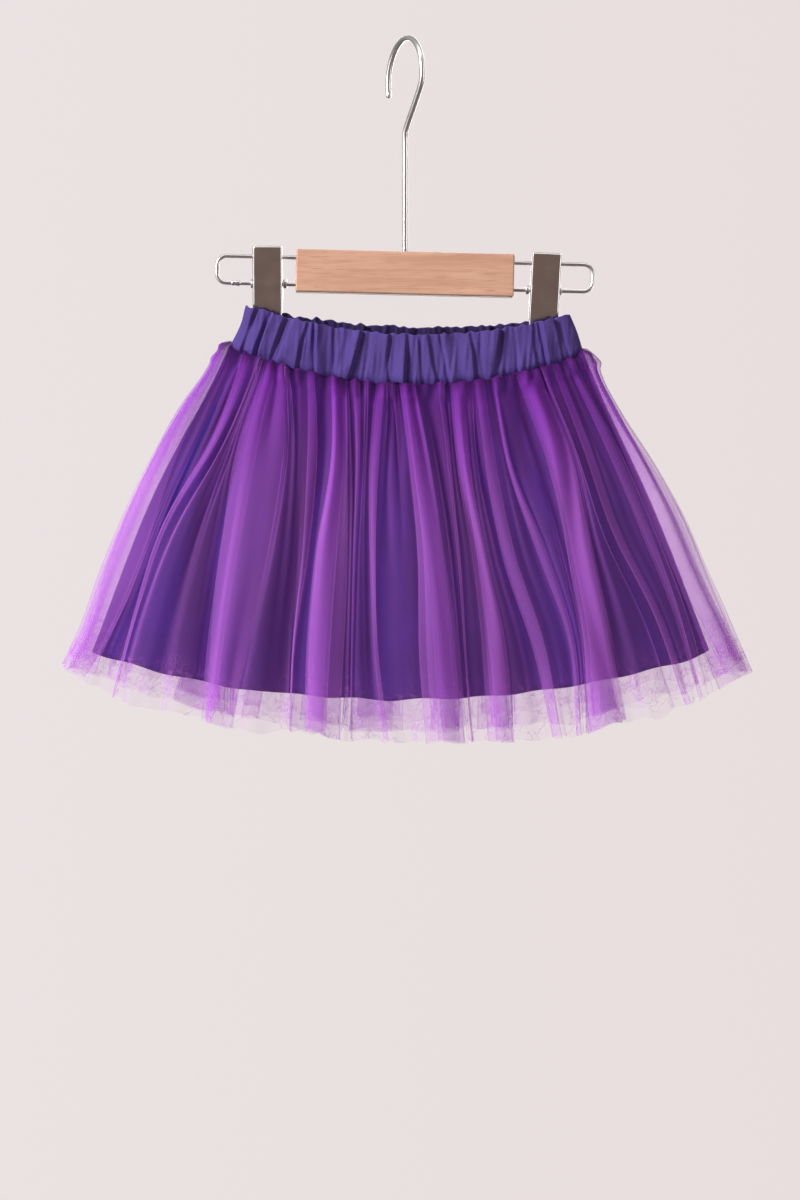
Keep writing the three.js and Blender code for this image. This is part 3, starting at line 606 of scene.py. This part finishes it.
class Nodes:
    """Builds a node tree, one call to a node."""

    def __init__(self, name):
        self.material = bpy.data.materials.new(name)
        self.material.use_nodes = True
        self.tree = self.material.node_tree
        self.shader = self.tree.nodes["Principled BSDF"]

    def node(self, kind, inputs=None, **settings):
        made = self.tree.nodes.new(kind)
        for key, value in settings.items():
            setattr(made, key, value)
        for key, value in (inputs or {}).items():
            self.put(made.inputs[key], value)
        return made

    def put(self, socket, value):
        if isinstance(value, bpy.types.NodeSocket):
            self.tree.links.new(value, socket)
        else:
            socket.default_value = value

    def math(self, operation, a, b=0.0):
        made = self.node("ShaderNodeMath", operation=operation)
        self.put(made.inputs[0], a)
        self.put(made.inputs[1], b)
        return made.outputs[0]

    def mix(self, amount, a, b):
        made = self.node("ShaderNodeMix", data_type="RGBA")
        self.put(made.inputs["Factor"], amount)
        self.put(made.inputs[6], a)
        self.put(made.inputs[7], b)
        return made.outputs[2]

    def ramp(self, value, *stops):
        made = self.node("ShaderNodeValToRGB", {"Fac": value})
        for i, (at, level) in enumerate(stops):
            stop = made.color_ramp.elements[i] if i < 2 else made.color_ramp.elements.new(at)
            stop.position = at
            stop.color = (level, level, level, 1)
        return made.outputs["Color"]

    def set(self, **sockets):
        for key, value in sockets.items():
            self.put(self.shader.inputs[key.replace("_", " ")], value)


def linear(r, g, b):
    """A colour from sRGB values of 0 to 255."""
    part = [c / 255 for c in (r, g, b)]
    return tuple(c / 12.92 if c <= 0.04045 else ((c + 0.055) / 1.055) ** 2.4 for c in part) + (1,)


def jersey(name, colour, light, turned, stitch=1.0):
    """Fine knitted jersey: rows of small loops, a little sheen, colour that varies slightly, and painted shade inside
    a turned-over strip, and otherwise toward the seam.
    """
    n = Nodes(name)
    uv = n.node("ShaderNodeUVMap", uv_map="cloth").outputs["UV"]
    large = n.node("ShaderNodeTexNoise", {"Vector": uv, "Scale": 28.0, "Detail": 3.0}).outputs["Fac"]
    fine = n.node("ShaderNodeTexNoise", {"Vector": uv, "Scale": 1100.0, "Detail": 2.0}).outputs["Fac"]
    split = n.node("ShaderNodeSeparateXYZ", {"Vector": uv})
    across = n.math("SINE", n.math("MULTIPLY", split.outputs["X"], 2 * math.pi / (0.00085 * stitch)))
    zigzag = n.math("MULTIPLY", n.math("ABSOLUTE", across), 0.6)
    along = n.math("SINE", n.math("ADD", n.math("MULTIPLY", split.outputs["Y"], 2 * math.pi / 0.0011), zigzag))
    loops = n.math("ADD", n.math("MULTIPLY", across, 0.6), n.math("MULTIPLY", along, 0.4))
    height = n.math("ADD", loops, n.math("MULTIPLY", fine, 0.8))
    tone = n.math("ADD", n.math("MULTIPLY", large, 0.55), n.math("MULTIPLY", loops, 0.07))
    tone = n.math("ADD", tone, n.math("MULTIPLY", n.math("SUBTRACT", fine, 0.5), 0.5))
    # Painted shade: the inside of the strip, where it is turned over, is darkened.
    painted_inner_shade = n.node("ShaderNodeMapRange", {"Value": split.outputs["Y"], "From Min": -0.0015, "From Max": -0.003})
    painted_inner_shade = n.math("MULTIPLY", painted_inner_shade.outputs["Result"], turned)
    face = n.mix(tone, colour, light)
    if not turned:
        # Painted shade: the colour is darkened toward the seam, where the cloth is gathered close.
        deep = n.node("ShaderNodeMapRange", {"Value": split.outputs["Y"], "From Min": -0.085, "From Max": -0.003})
        deep = n.math("MULTIPLY", deep.outputs["Result"], 0.6)
        face = n.mix(deep, face, tuple(c * 0.4 for c in colour[:3]) + (1,))
    n.set(Base_Color=n.mix(painted_inner_shade, face, tuple(c * 0.45 for c in colour[:3]) + (1,)), Roughness=0.82)
    n.set(Sheen_Weight=0.15, Sheen_Roughness=0.45, Sheen_Tint=light, Specular_IOR_Level=0.2)
    bump = n.node("ShaderNodeBump", {"Height": height, "Strength": 0.35, "Distance": 0.0002})
    n.set(Normal=bump.outputs["Normal"])
    return n.material


def net(name, colour, deep, behind, cover):
    """Sheer tulle. A layer covers little where it is seen square on, and more where it turns away from view."""
    n = Nodes(name)
    uv = n.node("ShaderNodeUVMap", uv_map="cloth").outputs["UV"]
    split = n.node("ShaderNodeSeparateXYZ", {"Vector": uv})
    turn = 2 * math.pi / 0.0014
    across = n.math("COSINE", n.math("MULTIPLY", split.outputs["X"], turn))
    along = n.math("COSINE", n.math("MULTIPLY", split.outputs["Y"], turn * 0.86))
    mesh = n.math("SUBTRACT", 1.0, n.math("MULTIPLY", n.math("MULTIPLY", across, along), 0.5))
    # Fine streaks along the folds, and a few creases near the raw hem.
    long = n.node("ShaderNodeMapping", {"Vector": uv, "Scale": (150, 5, 1)}).outputs["Vector"]
    streak = n.node("ShaderNodeTexNoise", {"Vector": long, "Scale": 1.0, "Detail": 3.0}).outputs["Fac"]
    crumple = n.node("ShaderNodeTexNoise", {"Vector": uv, "Scale": 38.0, "Detail": 3.0, "Distortion": 0.8})
    crease = n.math("ABSOLUTE", n.math("SUBTRACT", crumple.outputs["Fac"], 0.5))
    crease = n.ramp(crease, (0.0, 1.0), (0.014, 0.0))
    low = n.node("ShaderNodeMapRange", {"Value": split.outputs["Y"], "From Min": -0.2, "From Max": -0.235})
    crease = n.math("ADD", n.math("MULTIPLY", crease, 3.0), 0.12)
    crease = n.math("MULTIPLY", crease, low.outputs["Result"])
    mesh = n.math("MULTIPLY", mesh, n.math("ADD", 0.82, n.math("MULTIPLY", streak, 0.36)))
    mesh = n.math("ADD", mesh, crease)
    facing = n.node("ShaderNodeLayerWeight", {"Blend": 0.5}).outputs["Facing"]
    square = n.math("MAXIMUM", n.math("SUBTRACT", 1.0, facing), 0.26)
    path = n.math("MULTIPLY", n.math("DIVIDE", cover, square), mesh)
    # Near the seam fine gathers crowd the threads, so a layer covers more there; its colour is also darkened there as
    # painted shade.
    seam = n.node("ShaderNodeMapRange", {"Value": split.outputs["Y"], "From Min": -0.11, "From Max": -0.004})
    crowding_and_painted_shade = seam.outputs["Result"]
    path = n.math("MULTIPLY", path, n.math("ADD", 1.0, n.math("MULTIPLY", crowding_and_painted_shade, 0.9)))
    alpha = n.math("SUBTRACT", 1.0, n.math("EXPONENT", n.math("MULTIPLY", path, -1.0)))
    shade = n.mix(crowding_and_painted_shade, colour, deep)
    # Painted shadow: the first few millimetres of tulle below the seam, under the waistband's edge, are darkened.
    under = n.node("ShaderNodeMapRange", {"Value": split.outputs["Y"], "From Min": -0.0105, "From Max": -0.003})
    shade = n.mix(under.outputs["Result"], shade, tuple(c * 0.33 for c in deep[:3]) + (1,))
    n.set(Base_Color=shade, Roughness=0.65, Specular_IOR_Level=0.12)
    n.set(Sheen_Weight=0.08, Sheen_Roughness=0.4, Sheen_Tint=colour)
    # The threads are lit from both sides, and the holes let everything through.
    through = n.node("ShaderNodeBsdfTranslucent", {"Color": behind})
    threads = n.node("ShaderNodeMixShader", {0: 0.4, 1: n.shader.outputs[0], 2: through.outputs[0]})
    holes = n.node("ShaderNodeBsdfTransparent")
    cloth = n.node("ShaderNodeMixShader", {0: alpha, 1: holes.outputs[0], 2: threads.outputs[0]})
    n.tree.links.new(cloth.outputs[0], n.tree.nodes["Material Output"].inputs["Surface"])
    return n.material


def wood(name):
    """Close-grained pale wood, its grain along X."""
    n = Nodes(name)
    place = n.node("ShaderNodeTexCoord").outputs["Object"]
    stretch = n.node("ShaderNodeMapping", {"Vector": place, "Scale": (9, 160, 160)}).outputs["Vector"]
    grain = n.node("ShaderNodeTexNoise", {"Vector": stretch, "Scale": 1.6, "Detail": 6.0, "Distortion": 0.5})
    pores = n.node("ShaderNodeMapping", {"Vector": place, "Scale": (60, 1500, 1500)}).outputs["Vector"]
    pore = n.node("ShaderNodeTexNoise", {"Vector": pores, "Scale": 1.0, "Detail": 2.0}).outputs["Fac"]
    broad = n.ramp(grain.outputs["Fac"], (0.3, 0.0), (0.72, 1.0))
    tone = n.mix(broad, linear(190, 142, 116), linear(211, 166, 141))
    fleck = n.ramp(pore, (0.28, 0.0), (0.46, 1.0))
    n.set(Base_Color=n.mix(fleck, linear(178, 127, 102), tone))
    n.set(Roughness=n.math("ADD", 0.42, n.math("MULTIPLY", pore, 0.18)), Coat_Weight=0.12, Coat_Roughness=0.3)
    bump = n.node("ShaderNodeBump", {"Height": pore, "Strength": 0.2, "Distance": 0.0002})
    n.set(Normal=bump.outputs["Normal"])
    return n.material


def steel(name, colour, rough, worn_by, grain):
    n = Nodes(name)
    place = n.node("ShaderNodeTexCoord").outputs["Object"]
    worn = n.node("ShaderNodeTexNoise", {"Vector": place, "Scale": 90.0, "Detail": 5.0}).outputs["Fac"]
    fine = n.node("ShaderNodeTexNoise", {"Vector": place, "Scale": 1400.0, "Detail": 2.0}).outputs["Fac"]
    darker = tuple(c * 0.82 for c in colour[:3]) + (1,)
    n.set(Base_Color=n.mix(worn, darker, colour), Metallic=1.0)
    n.set(Roughness=n.math("ADD", rough, n.math("MULTIPLY", worn, worn_by)))
    bump = n.node("ShaderNodeBump", {"Height": fine, "Strength": grain, "Distance": 0.0001})
    n.set(Normal=bump.outputs["Normal"])
    return n.material


# The hanger's dimensions, from the bar's middle
HANGER_TILT = math.radians(-1.4)
BAR = dict(length=152.6, height=29.8, thick=12.0, middle=-162.6)
HOOK = dict(wire=4.0, radius=28.0, tip=196, leave=-12, neck=-65)
HOOK_TURN = math.radians(-65)
# The hook's slanting run in: distance from the stem's line and height above the neck.
HOOK_RUN_IN = ((22, 26), (13, 16), (5.5, 8), (1.2, 2.5))
LOOP = dict(wire=2.8, reach=131.5, apart=18.8, corner=6.5)
CLIP = dict(width=21.8, top=25, foot=36, jaw=1.3, grip=12.5, back_higher=3)


def hung(x, y, z):
    """A point from the bar's middle, turned with the bar."""
    c, s = math.cos(HANGER_TILT), math.sin(HANGER_TILT)
    return np.array([x * c - z * s, y, BAR["middle"] + x * s + z * c])


def smooth_path(points, spacing):
    """Even points along a curve through the given ones."""
    points = np.asarray(points, float)
    steps = np.linalg.norm(np.diff(points, axis=0), axis=1) ** 0.5
    at = np.concatenate([[0], np.cumsum(steps)])
    fine = np.linspace(0, at[-1], 900)
    curve = np.stack([through(at, points[:, k], fine) for k in range(3)], axis=1)
    run = np.concatenate([[0], np.cumsum(np.linalg.norm(np.diff(curve, axis=0), axis=1))])
    even = np.linspace(0, run[-1], max(2, int(run[-1] / spacing)))
    return np.stack([np.interp(even, run, curve[:, k]) for k in range(3)], axis=1)


def tube(name, path, radius, material, sides=18, ends=True):
    """A round wire along a path, in millimetres, with rounded ends."""
    path = np.asarray(path, float)
    tangent = np.gradient(path, axis=0)
    tangent /= np.linalg.norm(tangent, axis=1, keepdims=True)
    radii = np.full(len(path), radius)
    if ends:
        lead = [(-0.98, 0.2), (-0.8, 0.6), (-0.5, 0.87)]
        before = [path[0] + tangent[0] * radius * a for a, _ in lead]
        after = [path[-1] - tangent[-1] * radius * a for a, _ in lead[::-1]]
        path = np.concatenate([before, path, after])
        tangent = np.concatenate([np.repeat(tangent[:1], 3, 0), tangent, np.repeat(tangent[-1:], 3, 0)])
        radii = np.concatenate([[radius * r for _, r in lead], radii, [radius * r for _, r in lead[::-1]]])
    normal = np.cross(tangent[0], [0.31, 0.9, 0.3])
    rings = []
    turns = np.linspace(0, 2 * math.pi, sides, endpoint=False)
    for centre, along, r in zip(path, tangent, radii):
        normal = normal - along * np.dot(normal, along)
        normal /= np.linalg.norm(normal)
        other = np.cross(along, normal)
        rings.append(centre + r * (np.cos(turns)[:, None] * normal + np.sin(turns)[:, None] * other))
    vertices = np.concatenate(rings) * MM
    faces = []
    for i in range(len(rings) - 1):
        for j in range(sides):
            k = (j + 1) % sides
            faces.append([i * sides + j, i * sides + k, (i + 1) * sides + k, (i + 1) * sides + j])
    faces.append(list(range(sides))[::-1])
    faces.append([(len(rings) - 1) * sides + j for j in range(sides)])
    return new_piece(name, vertices.tolist(), faces, material=material)


def hook(material):
    centre = HOOK["wire"] / 2 - HOOK["radius"]
    in_plane = lambda u, z: (u * math.cos(HOOK_TURN), u * math.sin(HOOK_TURN), z)
    turns = np.radians(np.arange(HOOK["tip"], HOOK["leave"] - 1, -13))
    points = [in_plane(HOOK["radius"] * math.cos(a), centre + HOOK["radius"] * math.sin(a)) for a in turns]
    foot = BAR["middle"] + BAR["height"] / 2 - 8
    points += [in_plane(out, HOOK["neck"] + above) for out, above in HOOK_RUN_IN]
    points += [(0, 0, HOOK["neck"] - down) for down in (3, 6, 25, 50, 75)] + [(0, 0, foot)]
    piece = tube("wire_hook", smooth_path(points, 1.6), HOOK["wire"] / 2, material)
    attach(piece, "root")
    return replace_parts(piece, "hanger_hook")


def loop(word, material):
    side = -1 if word == "left" else 1
    half, corner, reach = LOOP["apart"] / 2, LOOP["corner"], LOOP["reach"]
    inner = BAR["length"] / 2 - 8
    turns = np.linspace(0, math.pi / 2, 10)
    upper = [(reach - corner + corner * math.sin(a), half - corner + corner * math.cos(a)) for a in turns]
    flat = [(inner, half), *upper, *[(x, -z) for x, z in upper[::-1]], (inner, -half)]
    corners = np.array([hung(side * x, 0, z) for x, z in flat])
    run = np.concatenate([[0], np.cumsum(np.linalg.norm(np.diff(corners, axis=0), axis=1))])
    even = np.linspace(0, run[-1], 150)
    path = np.stack([np.interp(even, run, corners[:, k]) for k in range(3)], axis=1)
    piece = tube(f"wire_loop_{word}", path, LOOP["wire"] / 2, material, 14, ends=False)
    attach(piece, "root")
    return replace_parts(piece, f"hanger_loop_{word}")


def bar(material):
    """The wooden bar, its edges rounded a little by sanding."""
    half = np.array([BAR["length"], BAR["thick"], BAR["height"]]) / 2
    corners = [(x, y, z) for x in (-1, 1) for y in (-1, 1) for z in (-1, 1)]
    vertices = [hung(*(np.array(c) * half)) * MM for c in corners]
    faces = [[0, 1, 3, 2], [4, 6, 7, 5], [0, 4, 5, 1], [2, 3, 7, 6], [0, 2, 6, 4], [1, 5, 7, 3]]
    piece = new_piece("wooden_bar", [v.tolist() for v in vertices], faces, material=material, shade=True)
    bevel = piece.modifiers.new("edges", "BEVEL")
    bevel.width = 0.0013
    bevel.segments = 4
    bevel.harden_normals = True
    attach(piece, "root")
    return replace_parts(piece, "hanger_bar")


def clip_plate(word, face, material):
    """A pressed plate: a face with a folded flange down each side, deepest at the pivot."""
    clip = CLIPS[word]
    front = face == FRONT
    half = CLIP["width"] / 2 - (0.5 if front else 1.9)
    rim = CLIP["top"] + (0 if front else CLIP["back_higher"])
    bend_r = 1.8
    # The top edge is rounded over by as much as the sides are.
    over = np.cos(np.linspace(0, math.pi / 2, 6)[:-1])
    top = rim - bend_r + bend_r * over
    z = np.concatenate([top, np.linspace(rim - bend_r, 6, 14), np.linspace(5, -8, 12), np.linspace(-9, -CLIP["foot"], 14)])
    bend = CLIP["jaw"] + 6
    line = np.interp(-z, [-rim, 3, CLIP["foot"]], [CLIP["grip"], bend, CLIP["jaw"]])
    line = line + 0.8 * np.exp(-(((z + 3) / 5) ** 2)) + 0.5
    round_in = bend_r * (1 - np.sqrt(np.clip(1 - (np.maximum(z - (rim - bend_r), 0) / bend_r) ** 2, 0, 1)))
    line = line - round_in
    flange = np.interp(-z, [-rim, -rim + 3, -7, 0, 8, 14, CLIP["foot"] - 5, CLIP["foot"]], [0.4, 3.6, 4.4, 9.6, 9.2, 4, 2.2, 0.3])
    flange = np.minimum(flange, line + 2.6)
    # Across: up one flange, round the corner, over the face, and down the other flange.
    turns = np.linspace(0, math.pi / 2, 8)
    corner_x = half - bend_r + bend_r * np.sin(turns)
    corner_y = bend_r * (1 - np.cos(turns))
    inward = np.linspace(0, 1, 4)[1:]
    across_x = np.concatenate([corner_x, np.full(3, half)])
    rows = []
    for level, depth, deep, less in zip(z, line, flange, round_in):
        drop = np.concatenate([corner_y, bend_r + np.maximum(deep - bend_r - less, 0) * inward])
        xs = np.concatenate([-across_x[::-1], [-half * 0.4, half * 0.4], across_x]) * (1 - 0.6 * less / half)
        crown = np.concatenate([drop[::-1], [-0.05, -0.05], drop])
        rows.append(np.stack([xs, face * (depth - crown), np.full_like(xs, level)], axis=1))
    local = np.array(rows)
    turn = HANGER_TILT + -math.radians(clip["lean"])
    c, s = math.cos(turn), math.sin(turn)
    origin = hung(clip["x"], 0, -LOOP["apart"] / 2)
    points = np.stack(
        [
            origin[0] + local[..., 0] * c - local[..., 2] * s,
            origin[1] + local[..., 1],
            origin[2] + local[..., 0] * s + local[..., 2] * c,
        ],
        axis=-1,
    )
    high, wide = points.shape[:2]
    side_word = "front" if front else "back"
    piece = new_piece(
        f"plate_{word}_{side_word}",
        (points.reshape(-1, 3) * MM).tolist(),
        grid_faces(high, wide, face == BACK),
        material=material,
    )
    thick = piece.modifiers.new("thickness", "SOLIDIFY")
    thick.thickness = 0.0009
    thick.offset = -1
    edge = piece.modifiers.new("edges", "BEVEL")
    edge.width = 0.00025
    edge.segments = 2
    edge.limit_method = "ANGLE"
    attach(piece, "root")
    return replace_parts(piece, f"clip_{word}_{side_word}")


def turned_part(name, centre, profile, turn, material, sides=28):
    """A round part about an axis along X, from pairs of place and radius, turned with the hanger."""
    c, s = math.cos(turn), math.sin(turn)
    a = np.linspace(0, 2 * math.pi, sides, endpoint=False)
    rings = []
    for along, radius in profile:
        y, z = radius * np.cos(a), radius * np.sin(a)
        rings.append(np.stack([centre[0] + along * c - z * s, centre[1] + y, centre[2] + along * s + z * c], axis=1))
    faces = [
        [i * sides + j, (i + 1) * sides + j, (i + 1) * sides + (j + 1) % sides, i * sides + (j + 1) % sides]
        for i in range(len(rings) - 1)
        for j in range(sides)
    ]
    piece = new_piece(name, (np.concatenate(rings) * MM).tolist(), faces, material=material)
    piece.modifiers.new("corners", "EDGE_SPLIT").split_angle = math.radians(50)
    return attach(piece, "root")


def collars(word, material):
    """The round ends of the clip's pivot, on the lower wire beside the plates."""
    clip = CLIPS[word]
    inner = 1 if word == "left" else -1
    turn = HANGER_TILT - math.radians(clip["lean"])
    centre = hung(clip["x"], 0, -LOOP["apart"] / 2)
    for side_of, thick in ((inner, 2.6), (-inner, 1.2)):
        near = CLIP["width"] / 2 - 0.2
        steps = ((0, 1.3), (0, 2.9), (0.3, 3.2), (thick - 0.4, 3.2), (thick, 2.8), (thick, 1.3))
        profile = [(side_of * (near + along), radius) for along, radius in steps]
        at = "inner" if side_of == inner else "outer"
        turned_part(f"collar_{word}_{at}", centre, profile if side_of > 0 else profile[::-1], turn, material)


def bead(material):
    """The small weld where the left loop's wire is closed."""
    steps = ((-3.4, 1.3), (-2.9, 1.75), (-2, 1.9), (-1.2, 1.65), (-0.5, 1.7), (0.6, 2.0), (1.9, 1.95), (2.8, 1.7), (3.3, 1.3))
    turned_part("weld", hung(-118.0, 0, -LOOP["apart"] / 2), steps, HANGER_TILT, material)


def clip_spring(word, material):
    """The coil spring on the wire, with its two legs up inside the plates."""
    clip = CLIPS[word]
    turns = 7
    half = CLIP["width"] / 2 - 4.2
    a = np.linspace(0, 2 * math.pi * turns, turns * 22)
    radius = LOOP["wire"] / 2 + 1.7
    coil = np.stack([np.linspace(-half, half, len(a)), radius * np.cos(a), radius * np.sin(a)], axis=1)
    leg = lambda x, y: np.stack([np.full(8, x), np.linspace(0, y, 9)[1:], np.linspace(radius, 17, 9)[1:]], axis=1)
    coil = np.concatenate([leg(-half, 8)[::-1], coil, leg(half, -8)])
    turn = HANGER_TILT - math.radians(clip["lean"])
    c, s = math.cos(turn), math.sin(turn)
    origin = hung(clip["x"], 0, -LOOP["apart"] / 2)
    path = np.stack(
        [
            origin[0] + coil[:, 0] * c - coil[:, 2] * s,
            origin[1] + coil[:, 1],
            origin[2] + coil[:, 0] * s + coil[:, 2] * c,
        ],
        axis=1,
    )
    piece = tube(f"spring_{word}", path, 0.7, material, 8)
    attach(piece, "root")
    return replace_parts(piece, f"clip_{word}_spring")


# The object
WAIST_JERSEY = jersey("waistband jersey", linear(62, 44, 108), linear(104, 84, 168), 1.0)
LINING_JERSEY = jersey("lining jersey", linear(33, 8, 84), linear(66, 28, 152), 0.0)
TULLE = net("tulle", linear(208, 127, 233), linear(154, 66, 196), linear(210, 138, 228), 0.095)
WOOD = wood("pale wood")
WIRE = steel("bright wire", (0.74, 0.71, 0.70, 1), 0.27, 0.06, 0.01)
PLATE = steel("clip plate", (0.7, 0.66, 0.64, 1), 0.14, 0.16, 0.06)

for side in (FRONT, BACK):
    waistband(side, WAIST_JERSEY)
    lining(side, LINING_JERSEY)
    tulle(side, 0, TULLE)
    tulle(side, 1, TULLE)
hook(WIRE)
bar(WOOD)
for word in CLIPS:
    loop(word, WIRE)
    clip_plate(word, FRONT, PLATE)
    clip_plate(word, BACK, PLATE)
    clip_spring(word, WIRE)
    collars(word, WIRE)
bead(WIRE)


def surround():
    """A pale floor that curves up all round."""
    radius, floor, high, fillet = 4.2, -1.9, 4.0, 1.2
    turns = np.linspace(0, 2 * math.pi, 97)[:-1]
    bend = np.linspace(0, math.pi / 2, 13)
    profile = [(0.01, floor), (radius - fillet, floor)]
    profile += [(radius - fillet + fillet * math.sin(b), floor + fillet * (1 - math.cos(b))) for b in bend[1:]]
    profile += [(radius, high)]
    vertices = [(r * math.cos(a), r * math.sin(a), z) for r, z in profile for a in turns]
    count = len(turns)
    faces = [
        [i * count + j, i * count + (j + 1) % count, (i + 1) * count + (j + 1) % count, (i + 1) * count + j]
        for i in range(len(profile) - 1)
        for j in range(count)
    ]
    faces.append(list(range(count)))
    n = Nodes("surround")
    place = n.node("ShaderNodeTexCoord").outputs["Object"]
    # Painted shade: the backdrop's colour is a shade darker toward the right.
    side = n.node("ShaderNodeSeparateXYZ", {"Vector": place}).outputs["X"]
    amount = n.math("ADD", 0.5, n.math("MULTIPLY", side, 0.42))
    glow = n.node("ShaderNodeEmission", {"Color": n.mix(amount, linear(235, 226, 227), linear(231, 221, 220))})
    n.tree.links.new(glow.outputs["Emission"], n.tree.nodes["Material Output"].inputs["Surface"])
    piece = new_piece("surround", vertices, faces, material=n.material)
    piece.visible_shadow = False
    piece.visible_diffuse = False
    piece.visible_glossy = False
    return piece


def area_light(name, place, aim, size, power):
    light = bpy.data.lights.new(name, "AREA")
    light.shape = "RECTANGLE"
    light.size, light.size_y = size
    light.energy = power
    lamp = bpy.data.objects.new(name, light)
    bpy.context.scene.collection.objects.link(lamp)
    lamp.location = place
    direction = np.array(aim, float) - np.array(place, float)
    x, y, z = direction / np.linalg.norm(direction)
    lamp.rotation_euler = (math.acos(-z), 0, math.atan2(-x, y) if (x or y) else 0)
    lamp.visible_camera = False
    return lamp


surround()
area_light("key", (-2.1, -1.5, 0.85), (0, 0, -0.33), (0.8, 0.8), 103)
area_light("front", (0.5, -2.6, -0.7), (0, 0, -0.33), (1.6, 1.6), 16).visible_glossy = False
area_light("back", (0.4, 2.2, 0.2), (0, 0, -0.33), (1.8, 1.8), 55)
# Tall and overhead panels that only the metal reflects.
for name, place, size in (
    ("panel left", (-2.2, -0.9, -0.2), (0.9, 3.0)),
    ("panel right", (2.2, -0.9, -0.2), (0.55, 3.0)),
    ("panel over", (0.0, -0.9, 2.0), (3.0, 0.9)),
):
    area_light(name, place, (0, 0, -0.2), size, 22).visible_diffuse = False

world = bpy.data.worlds.new("studio")
world.use_nodes = True
sky = world.node_tree
place = sky.nodes.new("ShaderNodeTexCoord")
split = sky.nodes.new("ShaderNodeSeparateXYZ")
ramp = sky.nodes.new("ShaderNodeValToRGB")
shift = sky.nodes.new("ShaderNodeMath")
shift.operation = "MULTIPLY_ADD"
shift.inputs[1].default_value = 0.5
shift.inputs[2].default_value = 0.5
sky.links.new(place.outputs["Generated"], split.inputs[0])
sky.links.new(split.outputs["Z"], shift.inputs[0])
sky.links.new(shift.outputs[0], ramp.inputs["Fac"])
for stop, (at, level) in zip(ramp.color_ramp.elements, ((0.3, 0.5), (0.7, 1.0))):
    stop.position = at
    stop.color = (level, level * 0.985, level * 0.98, 1)
# The room in front is dimmer and warmer than behind.
toward = sky.nodes.new("ShaderNodeMapRange")
toward.inputs["From Min"].default_value = -0.85
toward.inputs["From Max"].default_value = -0.3
sky.links.new(split.outputs["Y"], toward.inputs["Value"])
room = sky.nodes.new("ShaderNodeMix")
room.data_type = "RGBA"
sky.links.new(toward.outputs["Result"], room.inputs["Factor"])
room.inputs[6].default_value = (0.5, 0.35, 0.31, 1)
sky.links.new(ramp.outputs["Color"], room.inputs[7])
sky.links.new(room.outputs[2], sky.nodes["Background"].inputs["Color"])
sky.nodes["Background"].inputs["Strength"].default_value = 0.42
scene = bpy.context.scene
scene.world = world
scene.view_settings.view_transform = "Standard"
scene.cycles.transparent_max_bounces = 48
